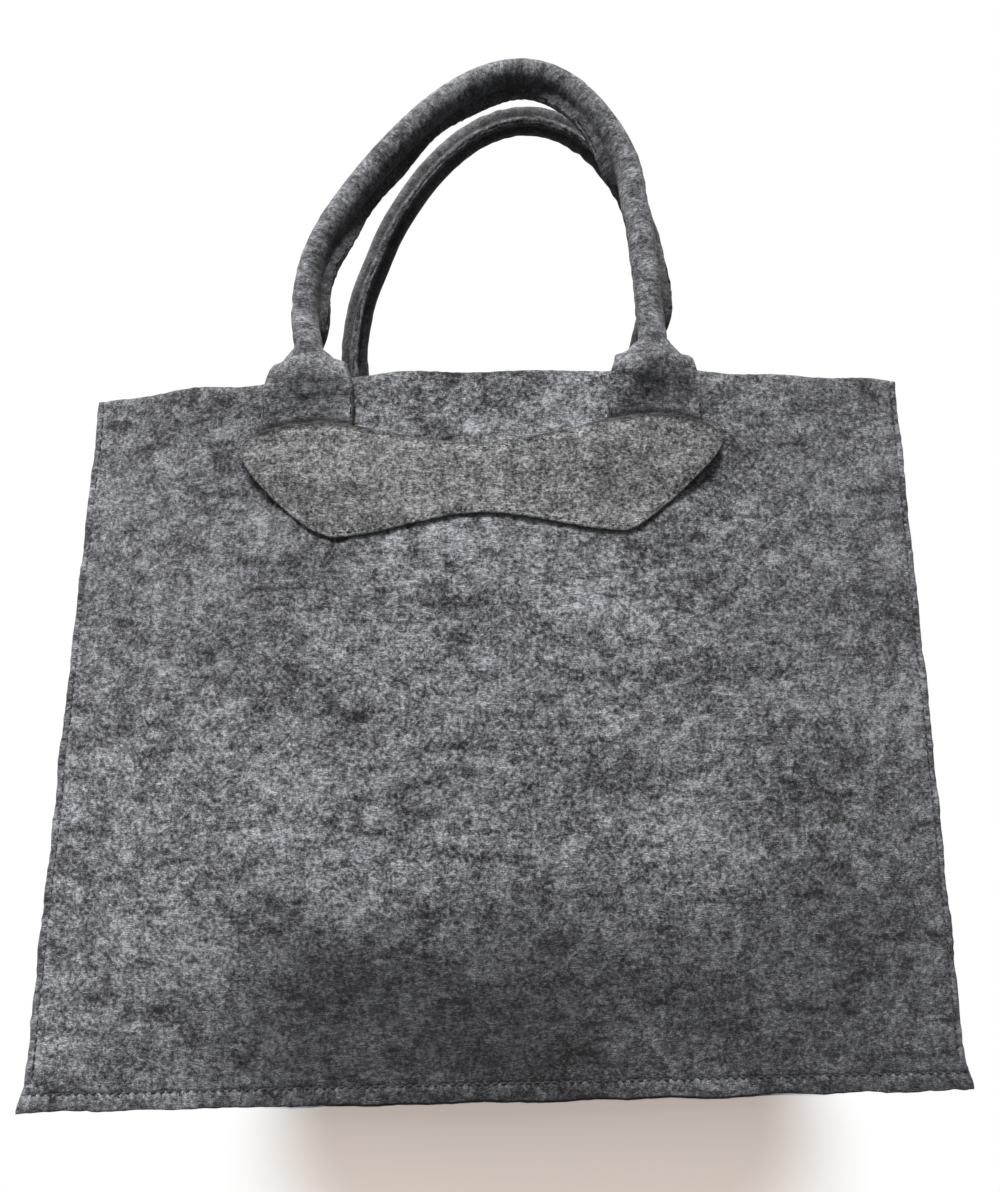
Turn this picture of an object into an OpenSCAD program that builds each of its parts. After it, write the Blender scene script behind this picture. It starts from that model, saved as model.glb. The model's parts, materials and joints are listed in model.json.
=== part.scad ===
/* [Bag body] */
// Width of the front and back panels at the floor
base_w = 396; // [320:2:480]
// Width across the mouth, from side seam to side seam
mouth_w = 372; // [310:2:446]
// Height of the mouth at the middle of a panel
bag_h = 311; // [255:1:375]
// Depth of the bag at the floor, over the outer faces
base_d = 150; // [120:2:182]
// Depth of the open mouth at its middle
mouth_mid_d = 120; // [98:1:146]
// Depth of the mouth at its side seams
mouth_side_d = 54; // [44:1:66]
// How far each side panel folds in at the mouth
gusset_fold = 42; // [30:1:52]
// How far the panels belly out below their middle
belly = 6; // [0:0.5:12]
// How far the mouth has settled to the right of the base
mouth_shift = 8; // [0:1:14]

/* [Felt] */
// Thickness of the felt of the bag and the handles
felt = 3; // [2.5:0.1:3.6]
// Thickness of the paler felt of the patches
patch_felt = 2; // [1.6:0.1:2.6]

/* [Seams] */
// Width of the side panels' turned edges, behind the front and back panels
side_flange = 7; // [6:0.5:9]
// Height of the base panel's turned edges, which the bag stands on
base_flange = 11; // [9:0.5:14]
// How far the base seams' ends stand past the side edges
corner_flare = 4; // [2:0.5:6]
// Distance from a side edge to its line of stitches
side_stitch_in = 3.2; // [2.6:0.1:3.9]
// Height of the base stitches above the floor
base_stitch_z = 8; // [6.5:0.5:9]
// Diameter of the sewing thread
thread_d = 0.9; // [0.7:0.05:1.1]

/* [Handles] */
// Distance between the two ends of a handle
handle_span = 152; // [126:1:182]
// Height of a handle's arch above its lower ends
handle_rise = 148; // [122:1:178]
// Width of the felt strip that each handle is rolled from
strip_w = 42; // [38:0.5:50]
// Height over which the flat strip rolls up into a tube
roll_len = 22; // [18:1:28]
// Radial room between the handle's felt and its core
core_room = 0.4; // [0.3:0.05:0.6]
// How far the front handle leans in over the mouth at rest
front_lean = 13; // [0:1:16]
// How far the back handle leans in over the mouth at rest
back_lean = 5; // [0:1:16]

/* [Patches] */
// How far the front patch and its handle are sewn to the right of the middle
front_patch_shift = -7; // [-12:1:12]
// How far the back patch and its handle are sewn to the right of the middle
back_patch_shift = 0; // [-12:1:12]
// Height of the patch's tips below the mouth
patch_tip_drop = 36; // [30:1:43]
// Height of the patch's two peaks below the mouth
patch_peak_drop = 21; // [17:1:25]
// Height of the upper edge's dip below the mouth
patch_dip_drop = 32; // [28:1:38]
// Height of the two lobes' lowest points below the mouth
patch_lobe_drop = 72; // [66:1:84]
// Height of the lower edge's arch below the mouth
patch_arch_drop = 63; // [56:1:74]
// How far the tips reach past the handle ends
patch_reach = 9; // [6:0.5:14]
// Length of handle strip that the patch covers
tab_cover = 18; // [15:1:22]
// Distance from the patch's edge to its stitches
patch_stitch_in = 2.2; // [1.6:0.1:3]

/* [Hidden] */

// Room left between two layers of felt that lie on each other
layer_gap = 0.15;
// How far a stitch sinks into the felt
thread_sink = 0.4;
// How much lower the mouth is at its side seams, and at the side panels' creases
corner_drop = 3;
crease_drop = 6;
// Radius of the bend of a turned edge, on the felt's middle line
bend_r = 0.6 * felt;
// Sharpness of the side panels' crease
crease_power = 1.4;
// Height of the hinge line above the mouth, and the felt left free to bend on it
hinge_rise = 2;
hinge_gap = 4;
// Share of a full turn that the handle strip is rolled, at its foot and along the tube
roll_foot = 0.06;
roll_tube = 0.99;
// Each handle's arch from its left end to its right end, as the control points of one
// smooth curve: shares of half the span to the side, and of the rise upwards
FRONT_ARCH = [[-1, 0], [-1, 0.85], [-1, -0.35], [0.35, 2.7], [1.3, 0.55], [1, 0.25], [1, 0]];
BACK_ARCH = [[-1, 0], [-1, 0.55], [-1.25, -0.3], [0.1, 3.25], [1.95, -0.2], [1, 0.65], [1, 0]];
// Share of the arch that the core leaves free at each end
core_start = 0.07;
// Distance over which the patch rises over the handle ends, and where that ends before them
patch_ramp = 7;
patch_ease = 4;
// Height of the blunt tip of the patch
patch_tip_h = 8;
// Bend of the patch's slanting edges between a lobe and a tip
patch_slant_power = 1.3;
// Where the lobes stand, measured in from the handle ends
lobe_in = 0.3 * strip_w;

FELT_GREY = [0.33, 0.33, 0.35];
PATCH_GREY = [0.47, 0.47, 0.47];
CORE_WHITE = [0.85, 0.84, 0.80];
THREAD_GREY = [0.16, 0.16, 0.17];

COLUMNS = 36;
BASE_LEVELS = 3;
WALL_LEVELS = 14;
STRIP_STEPS = 16;
ARCH_STEPS = 40;
CORE_SIDES = 12;
PATCH_COLUMNS = 44;
PATCH_ROWS = 9;
TAB_ROWS = 8;
TAB_COLUMNS = 8;
GUSSET_STEPS = 7;
BEND_STEPS = 3;

function mix(a, b, t) = a + (b - a) * t;
function clamp01(t) = min(1, max(0, t));
function ease(t) = let (c = clamp01(t)) c * c * (3 - 2 * c);
function even(count) = [for (i = [0:count]) i / count];

// Top of the base panel: up to it the panels stand square, and their corners flare out
base_top = base_flange + felt;
// Share of the way up the leaning part of a panel: 0 at the base panel, 1 at the mouth
function rise(z) = clamp01((z - base_top) / (bag_h - base_top));
function half_w(z) =
    mix(base_w, mouth_w, rise(z)) / 2 + corner_flare * (1 - ease(z / base_top));
function seam_y(z) = mix(base_d, mouth_side_d, rise(z)) / 2;
function middle_y(z) =
    mix(base_d, mouth_mid_d, rise(z)) / 2 + belly * sin(180 * pow(rise(z), 0.7));
// Half depth of the bag over the outer face of a panel: bowed across, straight at the base
function panel_y(x, z) =
    let (u = min(1, abs(x) / half_w(z)))
    seam_y(z) + (middle_y(z) - seam_y(z)) * (1 - u * u);
// Levels of the panels' points, as shares of their height, with one at the base's top
LEVELS = let (base = base_top / bag_h)
    concat([for (i = [0:BASE_LEVELS - 1]) base * i / BASE_LEVELS],
           [for (v = even(WALL_LEVELS)) mix(base, 1, v)]);
// Height of the mouth's edge at the share u of a panel's half width
function mouth_z(u) = bag_h - corner_drop * u * u;
// Moves a point as the bag has settled: shift to the side at the mouth, none at the base
function settled(p, shift) = p + [shift * rise(p[2]), 0, 0];

// Closed solid between two grids of points, outer[row][column] and inner[row][column].
// Seen from outside, the rows go up and the columns go to the right.
module slab(outer, inner, shift = mouth_shift) {
    rows = len(outer);
    cols = len(outer[0]);
    back = rows * cols;
    points = [for (grid = [outer, inner]) for (row = grid) for (p = row) settled(p, shift)];
    faces = [
        for (r = [0:rows - 2]) for (c = [0:cols - 2])
            let (a = r * cols + c, b = a + 1, d = a + cols, e = d + 1)
            each [[a, d, e], [a, e, b], [back + a, back + e, back + d], [back + a, back + b, back + e]],
        for (c = [0:cols - 2])
            let (a = c, b = c + 1, d = (rows - 1) * cols + c, e = d + 1)
            each [[a, b, back + b], [a, back + b, back + a], [d, back + e, e], [d, back + d, back + e]],
        for (r = [0:rows - 2])
            let (a = r * cols, d = a + cols, b = a + cols - 1, e = b + cols)
            each [[a, back + d, d], [a, back + a, back + d], [b, e, back + e], [b, back + e, back + b]]
    ];
    polyhedron(points, faces);
}

// Closed rope through rings of points, each ring going round the line the same way
module rope(rings, shift = mouth_shift) {
    n = len(rings[0]);
    last = (len(rings) - 1) * n;
    points = [for (ring = rings) for (p = ring) settled(p, shift)];
    faces = [
        [for (i = [0:n - 1]) i],
        [for (i = [n - 1:-1:0]) last + i],
        for (r = [0:len(rings) - 2]) for (i = [0:n - 1])
            let (a = r * n + i, b = r * n + (i + 1) % n)
            each [[a, a + n, b + n], [a, b + n, b]]
    ];
    polyhedron(points, faces);
}

// The same piece on the back of the bag, and a right-hand piece on its left
module on_back() {
    mirror([0, 1, 0]) children();
}
module on_left() {
    mirror([1, 0, 0]) children();
}

// ---- Panels ----

module panel() {
    grid = [for (v = LEVELS) [for (s = even(COLUMNS))
        let (u = 2 * s - 1, z = v * mouth_z(u))
        [u * half_w(z), z]]];
    color(FELT_GREY)
        slab([for (row = grid) [for (p = row) [p[0], -panel_y(p[0], p[1]), p[1]]]],
             [for (row = grid) [for (p = row) [p[0], felt - panel_y(p[0], p[1]), p[1]]]]);
}

// Middle line of the right side panel's felt at the height share v, from the turned
// edge behind the front panel to its crease
function gusset_half(v) =
    let (z = v * mouth_z(1),
         edge = half_w(z) - corner_flare * (1 - ease(z / base_top)),
         sheet_x = edge - side_flange + felt / 2,
         flange_y = seam_y(z) - 1.5 * felt - layer_gap,
         start_y = flange_y - bend_r,
         slope = (panel_y(edge - side_flange, z) - seam_y(z)) / side_flange)
    [[edge - layer_gap, flange_y + slope * layer_gap, z],
     for (i = [0:BEND_STEPS])
        let (a = 90 * i / BEND_STEPS)
        [sheet_x + bend_r * (1 - sin(a)),
         flange_y - bend_r * (1 - cos(a)) + slope * (edge - sheet_x - bend_r) * cos(a), z],
     for (i = [1:GUSSET_STEPS])
        let (w = 1 - i / GUSSET_STEPS, crease = 1 - pow(w, crease_power))
        [sheet_x - gusset_fold * pow(rise(z), 1.1) * crease, start_y * w,
         z - v * crease_drop * crease]];

function mirrored_y(points) =
    [for (i = [len(points) - 2:-1:0]) [points[i][0], -points[i][1], points[i][2]]];
function gusset_line(v) = let (half = gusset_half(v)) concat([for (p = half) [p[0], -p[1], p[2]]],
    mirrored_y([for (p = half) [p[0], -p[1], p[2]]]));

// A line of points moved sideways by d, square to the line as seen from above
function moved(line, d) = [for (i = [0:len(line) - 1])
    let (a = line[max(0, i - 1)], b = line[min(len(line) - 1, i + 1)],
         run = [b[0] - a[0], b[1] - a[1]], size = norm(run))
    line[i] + [run[1] / size * d, -run[0] / size * d, 0]];

module right_side_panel(shift = mouth_shift) {
    lines = [for (v = LEVELS) gusset_line(v)];
    color(FELT_GREY)
        slab([for (line = lines) moved(line, felt / 2)],
             [for (line = lines) moved(line, -felt / 2)], shift);
}

// The base: a flat sheet whose four edges are turned down inside the panels
module base_panel() {
    inner_x = base_w / 2 - side_flange - layer_gap;
    inner_y = base_d / 2 - felt - layer_gap;
    color(FELT_GREY) {
        translate([-inner_x, -inner_y, base_flange])
            cube([2 * inner_x, 2 * inner_y, felt]);
        for (end = [0, 180]) rotate([0, 0, end]) {
            translate([-inner_x, -inner_y, 0])
                cube([2 * inner_x, felt, base_top]);
            translate([inner_x - felt, -inner_y, 0])
                cube([felt, 2 * inner_y, base_top]);
        }
    }
}

// ---- Patches over the handle ends ----

patch_half = handle_span / 2 + strip_w / 2 + patch_reach;
lobe_x = handle_span / 2 - lobe_in;

function patch_top(x) =
    let (a = abs(x), peak = handle_span / 2)
    bag_h + (a < peak
        ? -mix(patch_dip_drop, patch_peak_drop, ease(a / peak))
        : -mix(patch_peak_drop, patch_tip_drop - patch_tip_h,
               pow((a - peak) / (patch_half - peak), 2)));
function patch_bottom(x) =
    let (a = abs(x))
    bag_h + (a < lobe_x
        ? -mix(patch_arch_drop, patch_lobe_drop, ease(a / lobe_x))
        : -mix(patch_lobe_drop, patch_tip_drop,
               pow((a - lobe_x) / (patch_half - lobe_x), patch_slant_power)));

tab_foot_z = bag_h - patch_peak_drop - tab_cover;

// How far the patch stands off the panel, over the handle ends that it covers;
// x is measured from the patch's own middle
function patch_off(x, z) =
    let (across = abs(abs(x) - handle_span / 2))
    layer_gap + (felt + layer_gap)
        * ease((strip_w / 2 + patch_ease + patch_ramp - across) / patch_ramp)
        * ease((z - tab_foot_z + patch_ease + patch_ramp) / patch_ramp);
// A point of the patch sewn at the side shift, d in front of the patch's back face
function patch_point(x, z, shift, d) =
    [x + shift, -panel_y(x + shift, z) - patch_off(x, z) - d, z];

module patch(shift) {
    grid = [for (t = even(PATCH_ROWS)) [for (s = even(PATCH_COLUMNS))
        let (x = (2 * s - 1) * patch_half)
        [x, mix(patch_bottom(x), patch_top(x), t)]]];
    color(PATCH_GREY)
        slab([for (row = grid) [for (p = row) patch_point(p[0], p[1], shift, patch_felt)]],
             [for (row = grid) [for (p = row) patch_point(p[0], p[1], shift, 0)]]);
}

// ---- Handles ----

hinge_z = bag_h + hinge_rise;
// Each hinge line lies on the tabs' outer faces, where they stand furthest out
function hinge_y(shift) =
    panel_y(max(0, handle_span / 2 - strip_w / 2 - abs(shift)), bag_h) + layer_gap + felt;
tube_r = strip_w / (360 * roll_tube) * 180 / PI;

// The flat end of a handle, sewn to a panel's outer face under the patch
module tab(side, shift) {
    top_z = hinge_z - layer_gap;
    grid = [for (t = even(TAB_ROWS)) [for (s = even(TAB_COLUMNS))
        [side * handle_span / 2 + shift + (s - 0.5) * strip_w, mix(tab_foot_z, top_z, t)]]];
    function face(p) = -panel_y(p[0], min(p[1], bag_h)) - layer_gap;
    color(FELT_GREY)
        slab([for (row = grid) [for (p = row) [p[0], face(p) - felt, p[1]]]],
             [for (row = grid) [for (p = row) [p[0], face(p), p[1]]]]);
}

function bezier(points, t) = len(points) == 1 ? points[0]
    : bezier([for (i = [0:len(points) - 2]) mix(points[i], points[i + 1], t)], t);

// The arch of a handle, as the line down the middle of the strip's outer face,
// measured from the hinge line; t goes from 0 at the left end to 1 at the right
function arch(route, t) =
    let (share = bezier(route, t))
    [share[0] * handle_span / 2, 0, hinge_gap + share[1] * handle_rise];
function arch_run(route, t) =
    let (step = 0.002, d = arch(route, min(1, t + step)) - arch(route, max(0, t - step)))
    d / norm(d);
// Share of a full turn that the strip is rolled at a height above the hinge line
function rolled(z) = mix(roll_foot, roll_tube, ease((z - hinge_gap) / roll_len));

// A point of the rolled strip: t along the arch, s across the strip, d out of its middle
function strip_point(route, t, s, d) =
    let (p = arch(route, t), run = arch_run(route, t), bend = 360 * rolled(p[2]) / strip_w,
         r = 180 / PI / bend, turn = bend * s)
    p + (r + d) * sin(turn) * [run[2], 0, -run[0]]
      + [0, felt / 2 + r * (1 - cos(turn)) - d * cos(turn), 0];

// Steps along the arch, closer together at its ends
ARCH_SHARES = [for (t = even(ARCH_STEPS)) 0.5 - 0.5 * cos(180 * t)];
CORE_SHARES = [for (t = even(ARCH_STEPS)) mix(core_start, 1 - core_start, t)];

module handle_cover(route) {
    color(FELT_GREY)
        slab([for (i = even(STRIP_STEPS)) [for (t = ARCH_SHARES)
                 strip_point(route, t, (0.5 - i) * strip_w, felt / 2)]],
             [for (i = even(STRIP_STEPS)) [for (t = ARCH_SHARES)
                 strip_point(route, t, (0.5 - i) * strip_w, -felt / 2)]], 0);
}

// The rope that keeps the tube round
module handle_core(route) {
    core_r = tube_r - felt / 2 - core_room;
    rings = [for (t = CORE_SHARES)
        let (p = arch(route, t), run = arch_run(route, t))
        [for (i = [0:CORE_SIDES - 1])
            let (turn = 360 * i / CORE_SIDES)
            p + core_r * cos(turn) * [run[2], 0, -run[0]]
              + [0, felt / 2 + tube_r + core_r * sin(turn), 0]]];
    color(CORE_WHITE) rope(rings, 0);
}

// Moves a handle from its own hinge line to the front of the bag
module on_front_hinge(lean, shift) {
    translate([mouth_shift + shift, -hinge_y(shift), hinge_z]) rotate([-lean, 0, 0]) children();
}

// ---- Threads ----

// A flat thread along the points of line, each with the direction that it faces
module thread_along(line, shift = mouth_shift) {
    w = thread_d / 2;
    last = len(line) - 1;
    function across(i) =
        let (run = line[min(last, i + 1)][0] - line[max(0, i - 1)][0],
             side = cross(line[i][1], run))
        side / norm(side);
    rings = [for (i = [0:last])
        let (p = line[i][0], out = line[i][1], side = across(i))
        [p + w * side - thread_sink * out, p + w * side + (thread_d - thread_sink) * out,
         p - w * side + (thread_d - thread_sink) * out, p - w * side - thread_sink * out]];
    color(THREAD_GREY) rope(rings, shift);
}

module side_seam_thread(side) {
    thread_along([for (v = even(WALL_LEVELS))
        let (z = mix(base_top, mouth_z(1) - side_stitch_in, v),
             x = side * (half_w(z) - side_stitch_in))
        [[x, -panel_y(x, z), z], [0, -1, 0]]]);
}

module front_base_seam_thread() {
    reach = base_w / 2 - side_stitch_in;
    thread_along([[[-reach, -base_d / 2, base_stitch_z], [0, -1, 0]],
                  [[reach, -base_d / 2, base_stitch_z], [0, -1, 0]]]);
}

module right_base_seam_thread() {
    x = base_w / 2 - side_flange + felt;
    reach = base_d / 2 - 3 * felt;
    thread_along([[[x, -reach, base_stitch_z], [1, 0, 0]],
                  [[x, reach, base_stitch_z], [1, 0, 0]]]);
}

module patch_thread(shift) {
    reach = patch_half - 2 * patch_stitch_in;
    rim = [for (s = even(PATCH_COLUMNS)) (2 * s - 1) * reach];
    lower = [for (x = rim) [x, patch_bottom(x) + patch_stitch_in]];
    upper = [for (i = [PATCH_COLUMNS:-1:0]) [rim[i], patch_top(rim[i]) - patch_stitch_in]];
    thread_along([for (p = concat(lower, upper))
        [patch_point(p[0], p[1], shift, patch_felt), [0, -1, 0]]]);
}

module handle_thread(route) {
    thread_along([for (t = CORE_SHARES)
        [arch(route, t) + [0, felt + 2 * tube_r, 0], [0, 1, 0]]], 0);
}

// ---- Assembly ----

panel();  // front_panel
on_back() panel();  // back_panel
on_left() right_side_panel(-mouth_shift);  // left_side_panel
right_side_panel();
base_panel();
patch(front_patch_shift);  // front_patch
on_back() patch(back_patch_shift);  // back_patch
tab(-1, front_patch_shift);  // front_left_tab
tab(1, front_patch_shift);  // front_right_tab
on_back() tab(-1, back_patch_shift);  // back_left_tab
on_back() tab(1, back_patch_shift);  // back_right_tab
on_front_hinge(front_lean, front_patch_shift) handle_cover(FRONT_ARCH);  // front_handle_cover
on_front_hinge(front_lean, front_patch_shift) handle_core(FRONT_ARCH);  // front_handle_core
on_front_hinge(front_lean, front_patch_shift) handle_thread(FRONT_ARCH);  // front_handle_thread
on_back() on_front_hinge(back_lean, back_patch_shift) handle_cover(BACK_ARCH);  // back_handle_cover
on_back() on_front_hinge(back_lean, back_patch_shift) handle_core(BACK_ARCH);  // back_handle_core
on_back() on_front_hinge(back_lean, back_patch_shift) handle_thread(BACK_ARCH);  // back_handle_thread
side_seam_thread(-1);  // front_left_seam_thread
side_seam_thread(1);  // front_right_seam_thread
on_back() side_seam_thread(-1);  // back_left_seam_thread
on_back() side_seam_thread(1);  // back_right_seam_thread
front_base_seam_thread();
on_back() front_base_seam_thread();  // back_base_seam_thread
on_left() right_base_seam_thread();  // left_base_seam_thread
right_base_seam_thread();
patch_thread(front_patch_shift);  // front_patch_thread
on_back() patch_thread(back_patch_shift);  // back_patch_thread
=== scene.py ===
"""Looks of a felt knitting bag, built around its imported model.

Every length is in metres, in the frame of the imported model: +Z up, -Y towards the
front panel, +X to the right as the front panel is looked at.
"""

import json
import logging
import math
from dataclasses import dataclass
from enum import Enum

import bpy
import numpy as np
from mathutils import Matrix, Vector


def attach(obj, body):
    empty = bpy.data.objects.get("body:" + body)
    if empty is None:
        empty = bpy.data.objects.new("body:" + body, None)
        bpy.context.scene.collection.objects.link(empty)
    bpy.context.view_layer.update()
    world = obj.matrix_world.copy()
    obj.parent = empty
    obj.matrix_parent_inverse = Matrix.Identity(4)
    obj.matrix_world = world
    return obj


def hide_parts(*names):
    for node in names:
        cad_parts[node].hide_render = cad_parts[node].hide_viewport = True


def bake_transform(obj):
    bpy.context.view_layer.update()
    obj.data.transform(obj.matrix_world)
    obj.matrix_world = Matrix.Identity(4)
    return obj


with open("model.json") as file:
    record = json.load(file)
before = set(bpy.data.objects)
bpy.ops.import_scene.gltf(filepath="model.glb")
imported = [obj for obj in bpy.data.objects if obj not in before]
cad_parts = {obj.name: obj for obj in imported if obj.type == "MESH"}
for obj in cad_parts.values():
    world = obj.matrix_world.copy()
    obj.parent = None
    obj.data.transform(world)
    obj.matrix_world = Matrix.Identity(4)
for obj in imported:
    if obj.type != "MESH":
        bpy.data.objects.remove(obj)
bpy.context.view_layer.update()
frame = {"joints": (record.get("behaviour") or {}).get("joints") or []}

Array = np.ndarray
LOG = logging.getLogger("knitting_bag")
CLOTH = "cloth"
# Name of the layer that scales a piece's colour: its felt tone, times shade and highlight painted on it.
TONE_AND_PAINTED_SHADE = "tone_and_painted_shade"
# Distances from a cut edge at which a grid has lines, to round the edge off.
RIM = np.array([0.0, 0.00006, 0.00028, 0.00065, 0.0012])
# Width of the band along a cut edge whose colour differs: most such bands are painted darker as shade, and a
# handle's lips are lighter.
CUT_BAND = 0.0009
STITCH_PITCH = 0.0036


# ---- Small helpers on arrays ----

def mix(a: Array, b: Array, t: Array) -> Array:
    """Value that goes from a at t = 0 to b at t = 1 on a straight line."""
    return a + (b - a) * t


def smooth(t: Array) -> Array:
    """Smooth step: 3t^2 - 2t^3 with t kept between 0 and 1."""
    c = np.clip(t, 0.0, 1.0)
    return c * c * (3.0 - 2.0 * c)


def ripple(x: Array, y: Array, length: float, seed: int, count: int = 7) -> Array:
    """Uneven waves on a plane: the sum of sine waves in seeded directions.

    Args:
        x: First coordinate of each point.
        y: Second coordinate of each point.
        length: About the length of one wave.
        seed: Seed of the directions, lengths and starts of the waves.
        count: How many waves are summed.

    Returns:
        Height at each point, about one on average whichever way it goes.
    """
    draw = np.random.default_rng(seed)
    total = np.zeros(np.broadcast(x, y).shape)
    for _ in range(count):
        turn, start = draw.uniform(0.0, 2.0 * math.pi, 2)
        pace = 2.0 * math.pi / length * draw.uniform(0.7, 1.4)
        total += np.sin(pace * (x * math.cos(turn) + y * math.sin(turn)) + start)
    return total * math.sqrt(2.0 / count)


def stations(length: float, step: float, close: tuple[float, ...] = ()) -> Array:
    """Places of grid lines from 0 to length, close together at both rims.

    Args:
        length: Distance that the lines cover.
        step: Distance between two lines away from the rims.
        close: Places of seams, which get lines half a millimetre apart.

    Returns:
        The places in rising order.
    """
    inner = np.linspace(RIM[-1], length - RIM[-1], max(3, round(length / step)))
    seams = [place + np.arange(-3, 4) * 0.0006 for place in close]
    places = np.unique(np.concatenate([RIM, length - RIM, inner, *seams]))
    places = places[(places >= 0.0) & (places <= length)]
    far = np.concatenate([[True], np.diff(places) > 0.00004])
    return places[far]


def keyed(t: Array, keys: list[tuple[float, float]]) -> Array:
    """Value that passes through (place, value) keys, levelling out at each key."""
    at, value = np.array(keys).T
    seat = np.clip(np.searchsorted(at, t, side="right") - 1, 0, len(at) - 2)
    share = smooth((t - at[seat]) / (at[seat + 1] - at[seat]))
    return mix(value[seat], value[seat + 1], share)


def unit(v: Array) -> Array:
    """Vectors of length one along the last axis."""
    return v / np.maximum(np.linalg.norm(v, axis=-1, keepdims=True), 1e-12)


def across(line: Array, places: Array, at: Array) -> Array:
    """Points of a line, given at rising places, read off at other places."""
    return np.stack([np.interp(at, places, line[:, i]) for i in range(line.shape[1])], axis=1)


def hand(right: bool) -> str:
    """Name of a side of the bag."""
    return "right" if right else "left"


# ---- Meshes ----

def turned_over(points: Array, faces: list[Array], mirrored: bool) -> list[Array]:
    """Turns a piece worked out for the front over to the back, with its faces outwards.

    Args:
        points: Places of the vertices, whose y changes its sign in place.
        faces: Arrays of vertex numbers.
        mirrored: Whether the piece is turned over at all.

    Returns:
        The faces, run round the other way if the piece is turned over.
    """
    if not mirrored:
        return faces
    points[:, 1] *= -1.0
    return [face[:, ::-1] for face in faces]


def make_object(name: str, points: Array, faces: list[Array], cloth: Array,
                tone_and_painted_shade: Array | None = None) -> bpy.types.Object:
    """Puts points and faces into a new smooth-shaded object at the origin.

    Args:
        name: Name of the piece.
        points: Places of the vertices, one row each.
        faces: Arrays of vertex numbers, each with a fixed count of corners.
        cloth: Place of each vertex on the flat cloth, in metres.
        tone_and_painted_shade: Share of its colour that each vertex keeps, from its tone
        and painted shade, or none for all of it.

    Returns:
        The object, linked to the scene.
    """
    used, seat = np.unique(np.concatenate([f.ravel() for f in faces]), return_inverse=True)
    counts = np.concatenate([np.full(len(f), f.shape[1]) for f in faces])
    mesh = bpy.data.meshes.new(name)
    mesh.vertices.add(len(used))
    mesh.vertices.foreach_set("co", points[used].astype(np.float32).ravel())
    mesh.loops.add(len(seat))
    mesh.loops.foreach_set("vertex_index", seat.astype(np.int32).ravel())
    mesh.polygons.add(len(counts))
    mesh.polygons.foreach_set("loop_start", (np.cumsum(counts) - counts).astype(np.int32))
    mesh.polygons.foreach_set("use_smooth", np.ones(len(counts), bool))
    mesh.update(calc_edges=True)
    mesh.validate()
    layer = mesh.attributes.new(CLOTH, "FLOAT_VECTOR", "POINT")
    layer.data.foreach_set("vector", cloth[used].astype(np.float32).ravel())
    kept = np.ones(len(points)) if tone_and_painted_shade is None else tone_and_painted_shade
    mesh.attributes.new(TONE_AND_PAINTED_SHADE, "FLOAT", "POINT").data.foreach_set("value", kept[used].astype(np.float32))
    obj = bpy.data.objects.new(name, mesh)
    bpy.context.scene.collection.objects.link(obj)
    return obj


def quads(index: Array) -> Array:
    """Four-cornered faces over a grid of vertex numbers, rows up and columns right."""
    return np.stack([index[:-1, :-1], index[:-1, 1:], index[1:, 1:], index[1:, :-1]], axis=-1).reshape(-1, 4)


def grid_normals(grid: Array) -> Array:
    """Outward normals of a grid: the run to the right crossed with the run upwards."""
    return unit(np.cross(np.gradient(grid, axis=1), np.gradient(grid, axis=0)))


@dataclass(frozen=True)
class FeltCut:
    """A flat cut of felt laid along a surface.

    Attributes:
        middle: Points of the felt's middle surface, rows up and columns right.
        depth: Distance of each point from the nearest cut edge.
        cloth: Place of each point on the flat felt.
        thick: Thickness of the felt.
        seed: Seed of the small unevenness of its cut edges.
        mirrored: Whether the piece is turned over to the other side of the bag.
        tone_and_painted_shade: Share of its colour that the felt keeps at each point:
            its tone, times shade and highlight painted on it.
        rim: How much lighter its cut edges are made; below zero, how much darker, as
            painted shade.
        rounding: Reach of the rounding at a cut edge, as a share of the thickness.
        fray: Unevenness at a cut edge.
        fray_reach: Distance over which that unevenness fades.
    """

    middle: Array
    depth: Array
    cloth: Array
    thick: float
    seed: int
    mirrored: bool = False
    tone_and_painted_shade: Array | float = 1.0
    rim: float = 0.0
    rounding: float = 0.42
    fray: float = 0.0001
    fray_reach: float = 0.0015

    def build(self, name: str) -> bpy.types.Object:
        """Closed shell on both sides of the middle surface, with rounded cut edges.

        Half the thickness is taken along the normal, times sqrt(1 - (1 - d)^2), where
        d is the distance from the cut edge as a share of the rounding. Both faces share
        the vertices of the edge itself.

        Args:
            name: Name of the piece.

        Returns:
            The new object.
        """
        normal = grid_normals(self.middle)
        near = np.clip(self.depth / (self.rounding * self.thick), 0.0, 1.0)
        half = (0.5 * self.thick * np.sqrt(1.0 - (1.0 - near) ** 2))[..., None]
        worn = np.exp(-self.depth / self.fray_reach)[..., None] * self.fray
        a, b = self.cloth[..., 0], self.cloth[..., 1]
        fray = np.stack([ripple(a, b, 0.0042, self.seed + i) for i in range(3)], axis=-1)
        middle = self.middle + fray * worn
        count = self.depth.size
        points = np.concatenate([(middle + s * normal * half).reshape(-1, 3) for s in (1, -1)])
        lift = half[..., 0]
        cloth = np.concatenate([np.stack([a, b, s * lift], axis=-1).reshape(-1, 3) for s in (1, -1)])
        outer = np.arange(count).reshape(self.depth.shape)
        inner = outer + count
        for side in (np.s_[0, :], np.s_[-1, :], np.s_[:, 0], np.s_[:, -1]):
            inner[side] = outer[side]
        faces = turned_over(points, [np.concatenate([quads(outer), quads(inner)[:, ::-1]])], self.mirrored)
        kept = (self.tone_and_painted_shade * (1.0 + self.rim * np.exp(-((self.depth / CUT_BAND) ** 2)))).ravel()
        return make_object(name, points, faces, cloth, np.concatenate([kept, kept]))


@dataclass(frozen=True)
class StitchLine:
    """A line of sewing: points on the felt's face, and the direction that it faces."""

    points: Array
    normals: Array


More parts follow.
